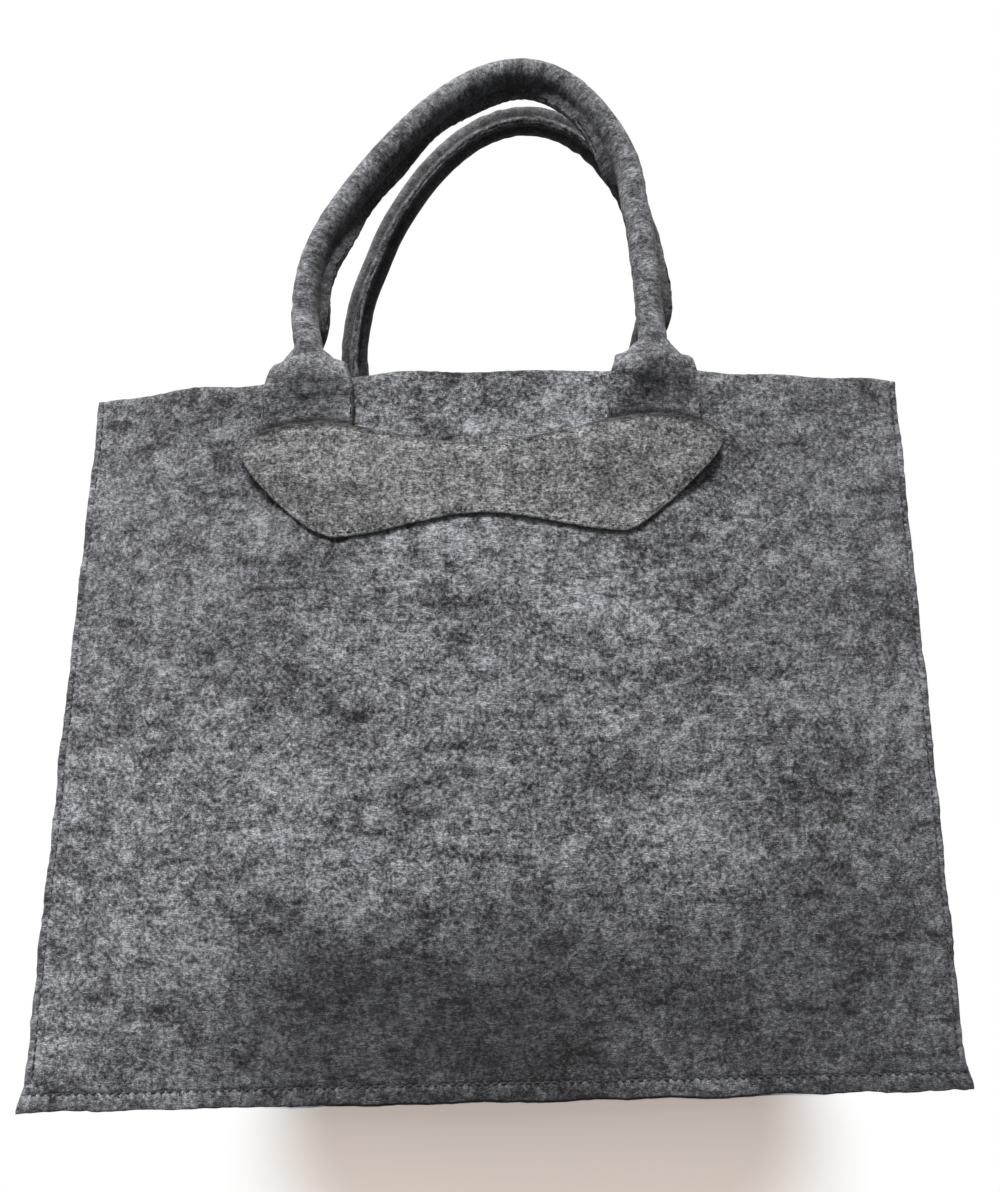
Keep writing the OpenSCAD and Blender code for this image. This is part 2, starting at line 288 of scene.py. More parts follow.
@dataclass(frozen=True)
class Stitching:
    """How a line is sewn.

    Attributes:
        pitch: Distance from one stitch to the next.
        length: Length of the thread that shows in one stitch.
        radius: Half the thickness of the thread.
        sink: How far the ends of a stitch dive into the felt.
    """

    pitch: float = STITCH_PITCH
    length: float = 0.0029
    radius: float = 0.0005
    sink: float = 0.0008

    def build(self, name: str, lines: list[StitchLine], mirrored: bool = False) -> bpy.types.Object:
        """Every stitch of the lines, each a short bowed capsule of six sides.

        A stitch runs along its line from -1 to 1; its radius is sqrt(1 - t^4) of the
        thread's, and its middle drops by t^2 of the sink towards its two ends.

        Args:
            name: Name of the piece.
            lines: The lines of sewing.
            mirrored: Whether the lines are turned over to the back of the bag.

        Returns:
            The new object.
        """
        spots = zip(*(self._spots(line) for line in lines))
        centre, run, out = (np.concatenate(part) for part in spots)
        side = unit(np.cross(run, out))
        t = np.array([-1.0, -0.78, -0.3, 0.3, 0.78, 1.0])
        turn = np.arange(6) / 6.0 * 2.0 * math.pi
        radius = self.radius * np.sqrt(1.0 - np.abs(t) ** 4 * 0.985)
        shape = (centre[:, None, None] + run[:, None, None] * (t * self.length / 2)[None, :, None, None]
                 + out[:, None, None] * (self.radius * 0.3 - self.sink * t**2)[None, :, None, None])
        wall = (np.cos(turn)[None, None, :, None] * side[:, None, None]
                + np.sin(turn)[None, None, :, None] * out[:, None, None])
        points = (shape + wall * radius[None, :, None, None]).reshape(-1, 3)
        number = np.arange(len(centre))[:, None, None] * t.size * 6
        ring = np.arange(t.size - 1)[None, :, None] * 6
        spot = np.arange(6)[None, None, :]
        a, b = number + ring + spot, number + ring + (spot + 1) % 6
        walls = np.stack([a, a + 6, b + 6, b], axis=-1).reshape(-1, 4)
        first = (number[:, 0] + np.arange(6)[None, :])
        caps = np.concatenate([first, (first + (t.size - 1) * 6)[:, ::-1]])
        apart = np.repeat(np.arange(len(centre)), t.size * 6) * 0.01
        cloth = np.stack([np.tile(np.repeat(t * self.length, 6), len(centre)) + apart,
                          np.tile(turn * self.radius, t.size * len(centre)),
                          np.zeros(len(points))], axis=1)
        return make_object(name, points, turned_over(points, [walls, caps], mirrored), cloth)

    def _spots(self, line: StitchLine) -> tuple[Array, Array, Array]:
        """Middle, run and outward direction of each stitch, evenly along the line."""
        gone = np.concatenate([[0.0], np.cumsum(np.linalg.norm(np.diff(line.points, axis=0), axis=1))])
        count = max(2, round(gone[-1] / self.pitch))
        at = (np.arange(count) + 0.5) * gone[-1] / count
        ahead, behind = (across(line.points, gone, at + s * self.length / 2) for s in (1, -1))
        run = ahead - behind
        out = unit(across(line.normals, gone, at))
        run = unit(run - out * np.sum(run * out, axis=1, keepdims=True))
        return across(line.points, gone, at), run, out


# ---- The form of the bag ----

class Face(Enum):
    """The two faces of the bag."""

    FRONT = "front"
    BACK = "back"

    @property
    def mirrored(self) -> bool:
        """Whether pieces worked out for the front are turned over for this face."""
        return self is Face.BACK

    @property
    def seed(self) -> int:
        """Seed of this face's unevenness."""
        return 11 if self is Face.FRONT else 47


@dataclass(frozen=True)
class BagForm:
    """The settled form of the bag: its sizes, and the places of its faces.

    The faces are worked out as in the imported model, with the sag of the felt added.

    Attributes:
        base_w: Width of a panel at the base, between its side edges.
        mouth_w: Width of a panel at the mouth.
        height: Height of the mouth in the middle of a panel.
        base_d: Depth of the bag at the base.
        mouth_mid_d: Depth of the mouth in its middle.
        mouth_side_d: Depth of the mouth at its corners.
        gusset_fold: How far a side panel is folded in at the mouth.
        belly: How far a panel bows out between the base and the mouth.
        mouth_shift: How far the mouth has settled to the right.
        felt: Thickness of the body's felt.
        patch_felt: Thickness of the patches' felt.
        gap: Room between two layers that touch.
        side_flange: Width of a side panel's edge behind a panel.
        base_flange: Height of the base panel's turned-down edge.
        corner_flare: How far a panel's lowest corners flare out.
        corner_drop: Drop of the mouth at its corners.
        crease_drop: Drop of a side panel's edge at its crease.
        side_stitch_in: Distance of the side stitches from a panel's edge.
        base_stitch_z: Height of the bottom stitches.
        low_swell: How much fuller a panel hangs low down.
        drape: Height of the long uneven waves in a panel.
    """

    base_w: float = 0.396
    mouth_w: float = 0.372
    height: float = 0.311
    base_d: float = 0.150
    mouth_mid_d: float = 0.120
    mouth_side_d: float = 0.054
    gusset_fold: float = 0.042
    belly: float = 0.006
    mouth_shift: float = 0.008
    felt: float = 0.003
    patch_felt: float = 0.002
    gap: float = 0.00015
    side_flange: float = 0.007
    base_flange: float = 0.011
    corner_flare: float = 0.004
    corner_drop: float = 0.003
    crease_drop: float = 0.006
    side_stitch_in: float = 0.0032
    base_stitch_z: float = 0.008
    low_swell: float = 0.006
    drape: float = 0.0011

    @property
    def base_top(self) -> float:
        """Height of the base panel's upper face."""
        return self.base_flange + self.felt

    def rise(self, z: Array) -> Array:
        """Share of the way up the leaning part of a panel."""
        return np.clip((z - self.base_top) / (self.height - self.base_top), 0.0, 1.0)

    def half_w(self, z: Array) -> Array:
        """Half the width of a panel: tapered, with its lowest corners flared out."""
        return (mix(self.base_w, self.mouth_w, self.rise(z)) / 2
                + self.corner_flare * (1.0 - smooth(z / self.base_top)))

    def seam_y(self, z: Array) -> Array:
        """Half depth of the bag at its side seams."""
        return mix(self.base_d, self.mouth_side_d, self.rise(z)) / 2

    def panel_y(self, x: Array, z: Array) -> Array:
        """Half depth over the outer face of a panel, bowed across as 1 - u^2."""
        up, seam = self.rise(z), self.seam_y(z)
        middle = mix(self.base_d, self.mouth_mid_d, up) / 2 + self.belly * np.sin(math.pi * up**0.7)
        u = np.minimum(1.0, np.abs(x) / self.half_w(z))
        return seam + (middle - seam) * (1.0 - u * u)

    def mouth_z(self, u: Array) -> Array:
        """Height of the mouth's edge at the share u of the half width."""
        return self.height - self.corner_drop * u * u

    def face_y(self, x: Array, z: Array, seed: int) -> Array:
        """Half depth over the outer face of the settled panel.

        The felt hangs fuller low down, by sin^2 of a share of the height, and lies in
        long uneven waves that fade out towards the mouth, the base and the seams.
        """
        u = np.minimum(1.0, np.abs(x) / self.half_w(z))
        up, open_share = self.rise(z), 1.0 - u * u
        full = self.low_swell * open_share * np.sin(math.pi * up**0.6) ** 2
        fade = np.sqrt(open_share) * np.sin(math.pi * up) ** 0.7
        waves = ripple(x, z, 0.16, seed) + 0.45 * ripple(x, z, 0.055, seed + 1)
        return self.panel_y(x, z) + full + self.drape * waves * fade

    def settled(self, points: Array) -> Array:
        """Points moved to the side, not at all at the base and most at the mouth."""
        moved = points.copy()
        moved[..., 0] += self.mouth_shift * self.rise(points[..., 2])
        return moved


FORM = BagForm()


def pressed(distance: Array, along: Array, pitch: float = STITCH_PITCH) -> Array:
    """Depth of the groove of a seam: a bell across it, deeper at each stitch's ends."""
    bell = np.exp(-((distance / 0.0011) ** 2))
    return bell * (0.00075 - 0.0003 * np.cos(2.0 * math.pi * along / pitch))


# ---- Node materials ----

class Wire:
    """One socket's value, with arithmetic that adds Math nodes."""

    def __init__(self, bench: "Bench", socket: bpy.types.NodeSocket) -> None:
        """Keeps the bench and the output socket."""
        self.bench = bench
        self.socket = socket

    def _maths(self, operation: str, *values: "Wire | float") -> "Wire":
        """A Math node of that operation on the values, in their order."""
        return self.bench.add("ShaderNodeMath", {"operation": operation}, dict(enumerate(values)))

    def __add__(self, other: "Wire | float") -> "Wire":
        """Sum."""
        return self._maths("ADD", self, other)

    __radd__ = __add__

    def __sub__(self, other: "Wire | float") -> "Wire":
        """Difference."""
        return self._maths("SUBTRACT", self, other)

    def __rsub__(self, other: float) -> "Wire":
        """Difference, from a number."""
        return self._maths("SUBTRACT", other, self)

    def __mul__(self, other: "Wire | float") -> "Wire":
        """Product."""
        return self._maths("MULTIPLY", self, other)

    __rmul__ = __mul__

    def __abs__(self) -> "Wire":
        """Size without its sign."""
        return self._maths("ABSOLUTE", self)

    def clamped(self) -> "Wire":
        """Value kept between 0 and 1."""
        return self.bench.add("ShaderNodeClamp", {}, {"Value": self})

    def ramp(self, low: float, high: float) -> "Wire":
        """Smooth step from 0 at low to 1 at high."""
        return self.bench.add("ShaderNodeMapRange", {"interpolation_type": "SMOOTHSTEP"},
                              {"Value": self, "From Min": low, "From Max": high})


class Bench:
    """A tree of nodes and the one way in which nodes are added to it."""

    def __init__(self, tree: bpy.types.NodeTree) -> None:
        """Keeps the tree."""
        self.tree = tree

    def add(self, kind: str, settings: dict[str, object], values: dict[object, object],
            out: int | str = 0) -> Wire:
        """Adds a node.

        Args:
            kind: Type of the node.
            settings: Its own settings, set before its sockets.
            values: Numbers or wires for its input sockets, by name or number.
            out: Which output is wanted.

        Returns:
            The wanted output.
        """
        node = self.tree.nodes.new(kind)
        for name, value in settings.items():
            setattr(node, name, value)
        for name, value in values.items():
            self.feed(node.inputs[name], value)
        return Wire(self, node.outputs[out])

    def feed(self, socket: bpy.types.NodeSocket, value: object) -> None:
        """Links a wire to a socket, or sets a plain value on it."""
        if isinstance(value, Wire):
            self.tree.links.new(value.socket, socket)
        else:
            socket.default_value = value

    def cloth(self) -> Wire:
        """Place on the flat cloth, in metres."""
        return self.add("ShaderNodeAttribute", {"attribute_name": CLOTH}, {}, "Vector")

    def noise(self, where: Wire, scale: float, detail: float = 2.0, rough: float = 0.55) -> Wire:
        """Noise with about scale blotches in a metre, from 0 to 1."""
        return self.add("ShaderNodeTexNoise", {}, {"Vector": where, "Scale": scale, "Detail": detail,
                                                   "Roughness": rough}, "Fac")

    def mapped(self, where: Wire, scale: tuple[float, float, float], turn: float = 0.0,
               move: tuple[float, float, float] = (0.0, 0.0, 0.0)) -> Wire:
        """Coordinates moved, turned in the cloth's plane and stretched."""
        return self.add("ShaderNodeMapping", {}, {"Vector": where, "Scale": scale,
                                                  "Rotation": (0.0, 0.0, turn), "Location": move})

    def blend(self, share: Wire | float, low: object, high: object) -> Wire:
        """Colour that goes from low to high as share goes from 0 to 1."""
        return self.add("ShaderNodeMix", {"data_type": "RGBA"}, {0: share, 6: low, 7: high}, 2)

    def bump(self, height: Wire, distance: float, strength: float) -> Wire:
        """Normals bent by a height of that many metres."""
        return self.add("ShaderNodeBump", {}, {"Height": height, "Distance": distance, "Strength": strength})


class MaterialBench(Bench):
    """A new material with its shader."""

    def __init__(self, name: str) -> None:
        """Makes the material with its shader and output."""
        self.material = bpy.data.materials.new(name)
        self.material.use_nodes = True
        super().__init__(self.material.node_tree)
        self.shader = self.tree.nodes["Principled BSDF"]

    def finish(self, **sockets: object) -> bpy.types.Material:
        """Feeds the shader's sockets, whose names have _ for each space."""
        for name, value in sockets.items():
            self.feed(self.shader.inputs[name.replace("_", " ")], value)
        return self.material


Colour = tuple[float, float, float, float]
# Turn and place of each of the three layers of stray hairs on the felt.
HAIR_LANES = ((0.5, 0.0), (-0.35, 3.0), (1.4, 7.0))


@dataclass(frozen=True)
class FeltFinish:
    """Mottled wool felt: light and dark fibres mixed in blotches, tufts and clouds.

    Attributes:
        name: Name of the material.
        dark: Colour of the dark fibres.
        light: Colour of the light fibres.
        balance: Share of light fibres, from 0 to 1.
        grain: Strength of the blotches of one to two millimetres.
        tuft: Strength of the blotches of about five millimetres.
        cloud: Strength of the wide uneven areas.
        streak: Strength of the dark level streaks.
        fuzz: Sheen of the fibres that stand up.
    """

    name: str
    dark: Colour = (0.006, 0.006, 0.0075, 1.0)
    light: Colour = (0.53, 0.545, 0.60, 1.0)
    balance: float = 0.58
    grain: float = 1.8
    tuft: float = 0.95
    cloud: float = 1.0
    streak: float = 0.7
    fuzz: float = 0.2

    def material(self) -> bpy.types.Material:
        """Builds the node material.

        Returns:
            The material, which reads each piece's place on the flat cloth.
        """
        # Scales are in blotches to the metre, and a hair's lane is long one way only.
        bench = MaterialBench(self.name)
        cloth = bench.cloth()
        warp = bench.add("ShaderNodeTexNoise", {}, {"Vector": cloth, "Scale": 260.0, "Detail": 1.0}, "Color")
        bent = bench.add("ShaderNodeVectorMath", {"operation": "MULTIPLY_ADD"},
                         {0: warp, 1: (0.0012, 0.0012, 0.0012), 2: cloth})
        blotch = bench.noise(bent, 560.0, 3.0, 0.66)
        speck = bench.noise(cloth, 1500.0, 2.0, 0.6)
        tufts = bench.noise(bent, 170.0, 2.0, 0.6)
        clouds = bench.noise(bench.mapped(cloth, (0.75, 1.15, 1.0)), 24.0, 4.0, 0.72)
        level = bench.noise(bench.mapped(cloth, (38.0, 150.0, 60.0)), 1.0, 2.0, 0.6)
        hairs = []
        for turn, shift in HAIR_LANES:
            lane = bench.mapped(bent, (230.0, 1700.0, 400.0), turn, (shift, shift, 0.0))
            thin = bench.noise(lane, 1.0, 1.0, 0.5)
            hairs.append((1.0 - abs(thin - 0.5) * 9.0).clamped())
        strand = hairs[0] + hairs[1] + hairs[2]
        tone = (self.balance + (blotch - 0.5) * self.grain + (speck - 0.5) * (self.grain * 0.5)
                + (tufts - 0.5) * self.tuft + (clouds - 0.5) * self.cloud
                - level.ramp(0.52, 0.72) * self.streak * 0.28 + (strand - 0.9) * 0.05)
        even = tone.clamped()
        mixed = bench.blend(even * even, self.dark, self.light)
        # Each piece's colour is scaled by its layer of felt tone and painted shade.
        tone_and_painted_shade = bench.add("ShaderNodeAttribute", {"attribute_name": TONE_AND_PAINTED_SHADE}, {}, "Fac")
        colour = bench.add("ShaderNodeVectorMath", {"operation": "SCALE"}, {0: mixed, "Scale": tone_and_painted_shade})
        height = blotch * 0.6 + speck * 0.35 + strand * 0.12 + tufts * 0.5
        rough = 0.86 + (speck - 0.5) * 0.15
        return bench.finish(Base_Color=colour, Roughness=rough, Normal=bench.bump(height, 0.0011, 0.75),
                            Sheen_Weight=self.fuzz, Sheen_Roughness=0.6, Specular_IOR_Level=0.18)


@dataclass(frozen=True)
class ThreadFinish:
    """Plied thread or rope: slanting strands along its own length.

    Attributes:
        name: Name of the material.
        dark: Colour between the strands.
        light: Colour of the strands.
        plies: How close the strands are, as the scale of their bands.
    """

    name: str
    dark: Colour
    light: Colour
    plies: float

    def material(self) -> bpy.types.Material:
        """Builds the node material: bands slanting along the thread, and loose fibres."""
        bench = MaterialBench(self.name)
        cloth = bench.cloth()
        slant = bench.mapped(cloth, (1.0, 1.0, 1.0), 0.7)
        bands = bench.add("ShaderNodeTexWave", {"wave_type": "BANDS", "bands_direction": "X"},
                          {"Vector": slant, "Scale": self.plies, "Distortion": 1.5, "Detail": 1.0}, "Fac")
        fibres = bench.noise(cloth, 2400.0, 2.0)
        tone = (bands * 0.6 + fibres * 0.6).clamped()
        return bench.finish(Base_Color=bench.blend(tone, self.dark, self.light),
                            Roughness=0.62 + fibres * 0.2,
                            Sheen_Weight=0.2,
                            Normal=bench.bump(bands + fibres * 0.5, 0.0002, 0.6))


class Finish(Enum):
    """The finishes of the bag, each with the record's slot that it stands for."""

    BODY = "body_felt"
    PATCH = "patch_felt"
    ROPE = "core_rope"
    THREAD = "thread"


def all_finishes() -> dict[Finish, bpy.types.Material]:
    """Makes each finish once."""
    return {
        Finish.BODY: FeltFinish("Charcoal_felt").material(),
        Finish.PATCH: FeltFinish("Mid_grey_felt", light=(0.51, 0.518, 0.53, 1.0), balance=0.61,
                                 tuft=0.8, cloud=0.5, streak=0.3).material(),
        Finish.ROPE: ThreadFinish("Cotton_rope", dark=(0.42, 0.39, 0.33, 1.0), light=(0.72, 0.69, 0.62, 1.0),
                                  plies=160.0).material(),
        Finish.THREAD: ThreadFinish("Sewing_thread", dark=(0.008, 0.008, 0.009, 1.0),
                                    light=(0.055, 0.055, 0.06, 1.0), plies=900.0).material(),
    }


@dataclass
class Workshop:
    """Dresses finished pieces and counts them.

    Attributes:
        finishes: The material of each finish.
        count: How many pieces have been dressed.
    """

    finishes: dict[Finish, bpy.types.Material]
    count: int = 0

    def dress(self, obj: bpy.types.Object, finish: Finish, *nodes: str) -> bpy.types.Object:
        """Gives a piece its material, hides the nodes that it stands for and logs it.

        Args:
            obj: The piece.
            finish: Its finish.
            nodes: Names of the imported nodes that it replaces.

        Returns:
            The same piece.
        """
        obj.data.materials.append(self.finishes[finish])
        if nodes:
            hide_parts(*nodes)
        self.count += 1
        LOG.info("%s: %d faces, %s, for %s", obj.name, len(obj.data.polygons), finish.value,
                 ", ".join(nodes) or "no node")
        return obj


# ---- The body of the bag ----

# Strength of the shade painted on the lower part of a panel, by place across it.
LOW_SHADE = [(-0.25, 0.0), (-0.15, 0.05), (-0.075, 0.62), (0.02, 0.66), (0.07, 0.42), (0.25, 0.3)]


@dataclass
class BagBody:
    """The panels and the base of the bag, with their lines of sewing.

    Attributes:
        form: The settled form that they follow.
        step: Distance between the grid lines of the front and back panels.
    """

    form: BagForm = FORM
    step: float = 0.0026

    def panel(self, face: Face) -> bpy.types.Object:
        """Front or back panel: a grid over shares of the half width and of the height.

        The middle surface lies half a thickness behind the settled face, pressed in
        along its lines of sewing and wavy between them and the cut edges.
        """
        form = self.form
        half = form.half_w(0.0)
        seam = form.side_stitch_in
        wide = stations(2 * half, self.step, (seam, 2 * half - seam)) / half - 1.0
        tall = stations(form.height, self.step, (form.base_stitch_z,)) / form.height
        u, v = np.meshgrid(wide, tall)
        z = v * form.mouth_z(u)
        x = u * form.half_w(z)
        edge = (1.0 - np.abs(u)) * form.half_w(z)
        depth = np.minimum(np.minimum(edge, z), form.mouth_z(u) - z)
        groove = np.where(z > form.base_top, pressed(edge - seam, z), 0.0)
        groove = groove + pressed(z - form.base_stitch_z, x)
        free = np.exp(-((edge / 0.004) ** 2)) + np.exp(-((z / 0.005) ** 2))
        curl = 0.0005 * free * ripple(x, z, 0.03, face.seed + 5)
        lumps = 0.00012 * ripple(x, z, 0.011, face.seed + 6) + 0.00008 * ripple(x, z, 0.006, face.seed + 7)
        y = form.face_y(x, z, face.seed) - form.felt / 2 - groove + curl + lumps
        z = z + 0.0007 * ripple(x, 0.0 * x, 0.05, face.seed + 8) * smooth((v - 0.8) / 0.2)
        middle = form.settled(np.stack([x, -y, z], axis=-1))
        cloth = np.stack([x + (0.0 if face is Face.FRONT else 0.7), z], axis=-1)
        # The panel's colour is scaled by painted shade.
        tone_and_painted_shade = self._shade(x, z, face)
        # rim below zero paints the cut edges darker, as shade on their undersides.
        cut = FeltCut(middle, depth, cloth, form.felt, face.seed, face.mirrored, tone_and_painted_shade, rim=-0.6)
        return cut.build(f"{face.value}_felt_panel")

    def _shade(self, x: Array, z: Array, face: Face) -> Array:
        """Share of its colour that a panel keeps, all of it painted shade.

        Shade is painted darkest low down in the middle, within an uneven line, and a
        little darker towards its right and its upper left than between them. Each is a
        smooth step.
        """
        uneven = 0.012 * ripple(x, z, 0.11, face.seed + 9)
        low = 1.0 - smooth((z + uneven - 0.045) / 0.065)
        kept = 1.0 - low * keyed(x, LOW_SHADE)
        right = 0.28 * smooth((x - 0.02) / 0.16)
        upper_left = 0.24 * smooth((-0.03 - x) / 0.08) * smooth((z - 0.12) / 0.10)
        return kept * (1.0 - right) * (1.0 - upper_left)

    def side(self, right: bool) -> bpy.types.Object:
        """Side panel, folded in at the mouth, with its long edges turned outwards.

        Half its width goes from the turned edge behind the panel, round a quarter turn,
        to the crease, where it is folded in by 1 - w^1.4 of the fold at that height.
        """
        form = self.form
        v = stations(form.mouth_z(1.0), 0.003) / form.mouth_z(1.0)
        z = v * form.mouth_z(1.0)
        edge = form.half_w(z) - form.corner_flare * (1.0 - smooth(z / form.base_top))
        sheet_x = edge - form.side_flange + form.felt / 2
        flange_y = form.seam_y(z) - 1.5 * form.felt - form.gap
        bend = 0.6 * form.felt
        slope = (form.panel_y(edge - form.side_flange, z) - form.seam_y(z)) / form.side_flange
        run = edge - form.gap - sheet_x - bend
        reaches = [0.0, 0.00006, 0.0003, 0.0007, 0.0012, mix(0.0012, run, 0.4), mix(0.0012, run, 0.8)]
        columns = [(edge - form.gap - reach, flange_y + slope * (form.gap + reach), z) for reach in reaches]
        for turn in np.linspace(0.0, 90.0, 6):
            a = math.radians(turn)
            out = slope * (edge - sheet_x - bend) * math.cos(a)
            columns.append((sheet_x + bend * (1 - math.sin(a)), flange_y - bend * (1 - math.cos(a)) + out, z))
        for share in np.linspace(0.0, 1.0, 25)[1:]:
            w = 1.0 - share
            crease = 1.0 - w**1.4
            uneven = ripple(z, np.full_like(z, share * 0.07), 0.12, 71 + right)
            sag = 0.0022 * math.sin(math.pi * share) * uneven
            columns.append((sheet_x - form.gusset_fold * form.rise(z) ** 1.1 * crease + sag,
                            (flange_y - bend) * w, z - v * form.crease_drop * crease))
        half = np.stack([np.stack(column, axis=-1) for column in columns], axis=1)
        front = half * np.array([1.0, -1.0, 1.0])
        middle = np.concatenate([front, half[:, -2::-1]], axis=1)
        gone = np.concatenate([[0.0], np.cumsum(np.linalg.norm(np.diff(middle[40], axis=0), axis=1))])
        wide, tall = np.meshgrid(gone, z)
        depth = np.minimum(np.minimum(wide, gone[-1] - wide), np.minimum(tall, z[-1] - tall))
        cloth = np.stack([wide + (1.3 if right else 1.9), tall], axis=-1)
        if not right:
            middle = middle[:, ::-1] * np.array([-1.0, 1.0, 1.0])
            cloth, depth = cloth[:, ::-1], depth[:, ::-1]
        cut = FeltCut(form.settled(middle), depth, cloth, form.felt, 83 + right)
        return cut.build(f"{hand(right)}_felt_side")

    def base(self) -> bpy.types.Object:
        """Base: a sheet whose four edges are turned down, as a lid's are.

        Distances along the sheet are bent over a quarter turn near each edge; the height
        is the lower of the two ways.
        """
        form = self.form
        bend = 0.7 * form.felt
        reach_x = form.base_w / 2 - form.side_flange - form.gap - form.felt / 2
        reach_y = form.base_d / 2 - form.felt - form.gap - form.felt / 2
        fall = form.base_flange + form.felt / 2

        def bent(reach: float) -> tuple[Array, Array, Array]:
            """Distances along the sheet, with how far out and how far down they come."""
            flat = reach - bend
            total = flat + bend * math.pi / 2 + fall - bend
            way = stations(2 * total, 0.004) - total
            curved = flat + np.linspace(0, bend * math.pi / 2, 6)
            way = np.unique(np.concatenate([way, -curved, curved]))
            past = np.abs(way) - flat
            turn = np.clip(past / bend, 0.0, math.pi / 2)
            out = np.minimum(np.abs(way), flat) + bend * np.sin(turn)
            down = bend * (1 - np.cos(turn)) + np.maximum(past - bend * math.pi / 2, 0.0)
            return way, np.sign(way) * out, down

        way_x, x, down_x = bent(reach_x)
        way_y, y, down_y = bent(reach_y)
        gx, gy = np.meshgrid(x, y)
        down = np.maximum(*np.meshgrid(down_x, down_y))
        level = np.exp(-((down / 0.004) ** 2)) * smooth((reach_y - np.abs(gy)) / 0.03)
        sag = 0.0008 * ripple(gx, gy, 0.12, 91) * level
        middle = np.stack([gx, gy, form.base_flange + form.felt / 2 - down + sag], axis=-1)
        wx, wy = np.meshgrid(way_x, way_y)
        depth = np.minimum(way_x[-1] - np.abs(wx), way_y[-1] - np.abs(wy))
        cloth = np.stack([wx + 2.6, wy], axis=-1)
        return FeltCut(middle, depth, cloth, form.felt, 95).build("base_felt")

    def side_sewing(self, face: Face, right: bool) -> bpy.types.Object:
        """Stitches up a side edge of a panel."""
        form = self.form
        z = np.linspace(form.base_top, form.mouth_z(1.0) - form.side_stitch_in, 90)
        x = (1.0 if right else -1.0) * (form.half_w(z) - form.side_stitch_in)
        points = form.settled(np.stack([x, -form.face_y(x, z, face.seed) + 0.0004, z], axis=-1))
        normals = np.tile([0.0, -1.0, 0.0], (len(z), 1))
        name = f"{face.value}_{hand(right)}_edge_stitches"
        return Stitching().build(name, [StitchLine(points, normals)], face.mirrored)

    def base_sewing(self, face: Face) -> bpy.types.Object:
        """Stitches along the bottom of a panel."""
        form = self.form
        reach = form.base_w / 2 + form.corner_flare * 0.3 - form.side_stitch_in
        x = np.linspace(-reach, reach, 60)
        z = np.full_like(x, form.base_stitch_z)
        points = np.stack([x, -form.face_y(x, z, face.seed) + 0.0004, z], axis=-1)
        normals = np.tile([0.0, -1.0, 0.0], (len(x), 1))
        return Stitching().build(f"{face.value}_base_stitches", [StitchLine(points, normals)], face.mirrored)

    def side_base_sewing(self, right: bool) -> bpy.types.Object:
        """Stitches along the bottom of a side panel."""
        form = self.form
        sign = 1.0 if right else -1.0
        reach = form.base_d / 2 - 3 * form.felt
        y = np.linspace(-reach, reach, 30)
        x = np.full_like(y, sign * (form.base_w / 2 - form.side_flange + form.felt - 0.0003))
        points = np.stack([x, y, np.full_like(y, form.base_stitch_z + 0.0015)], axis=-1)
        normals = np.tile([sign, 0.0, 0.0], (len(y), 1))
        return Stitching().build(f"{hand(right)}_base_stitches", [StitchLine(points, normals)])


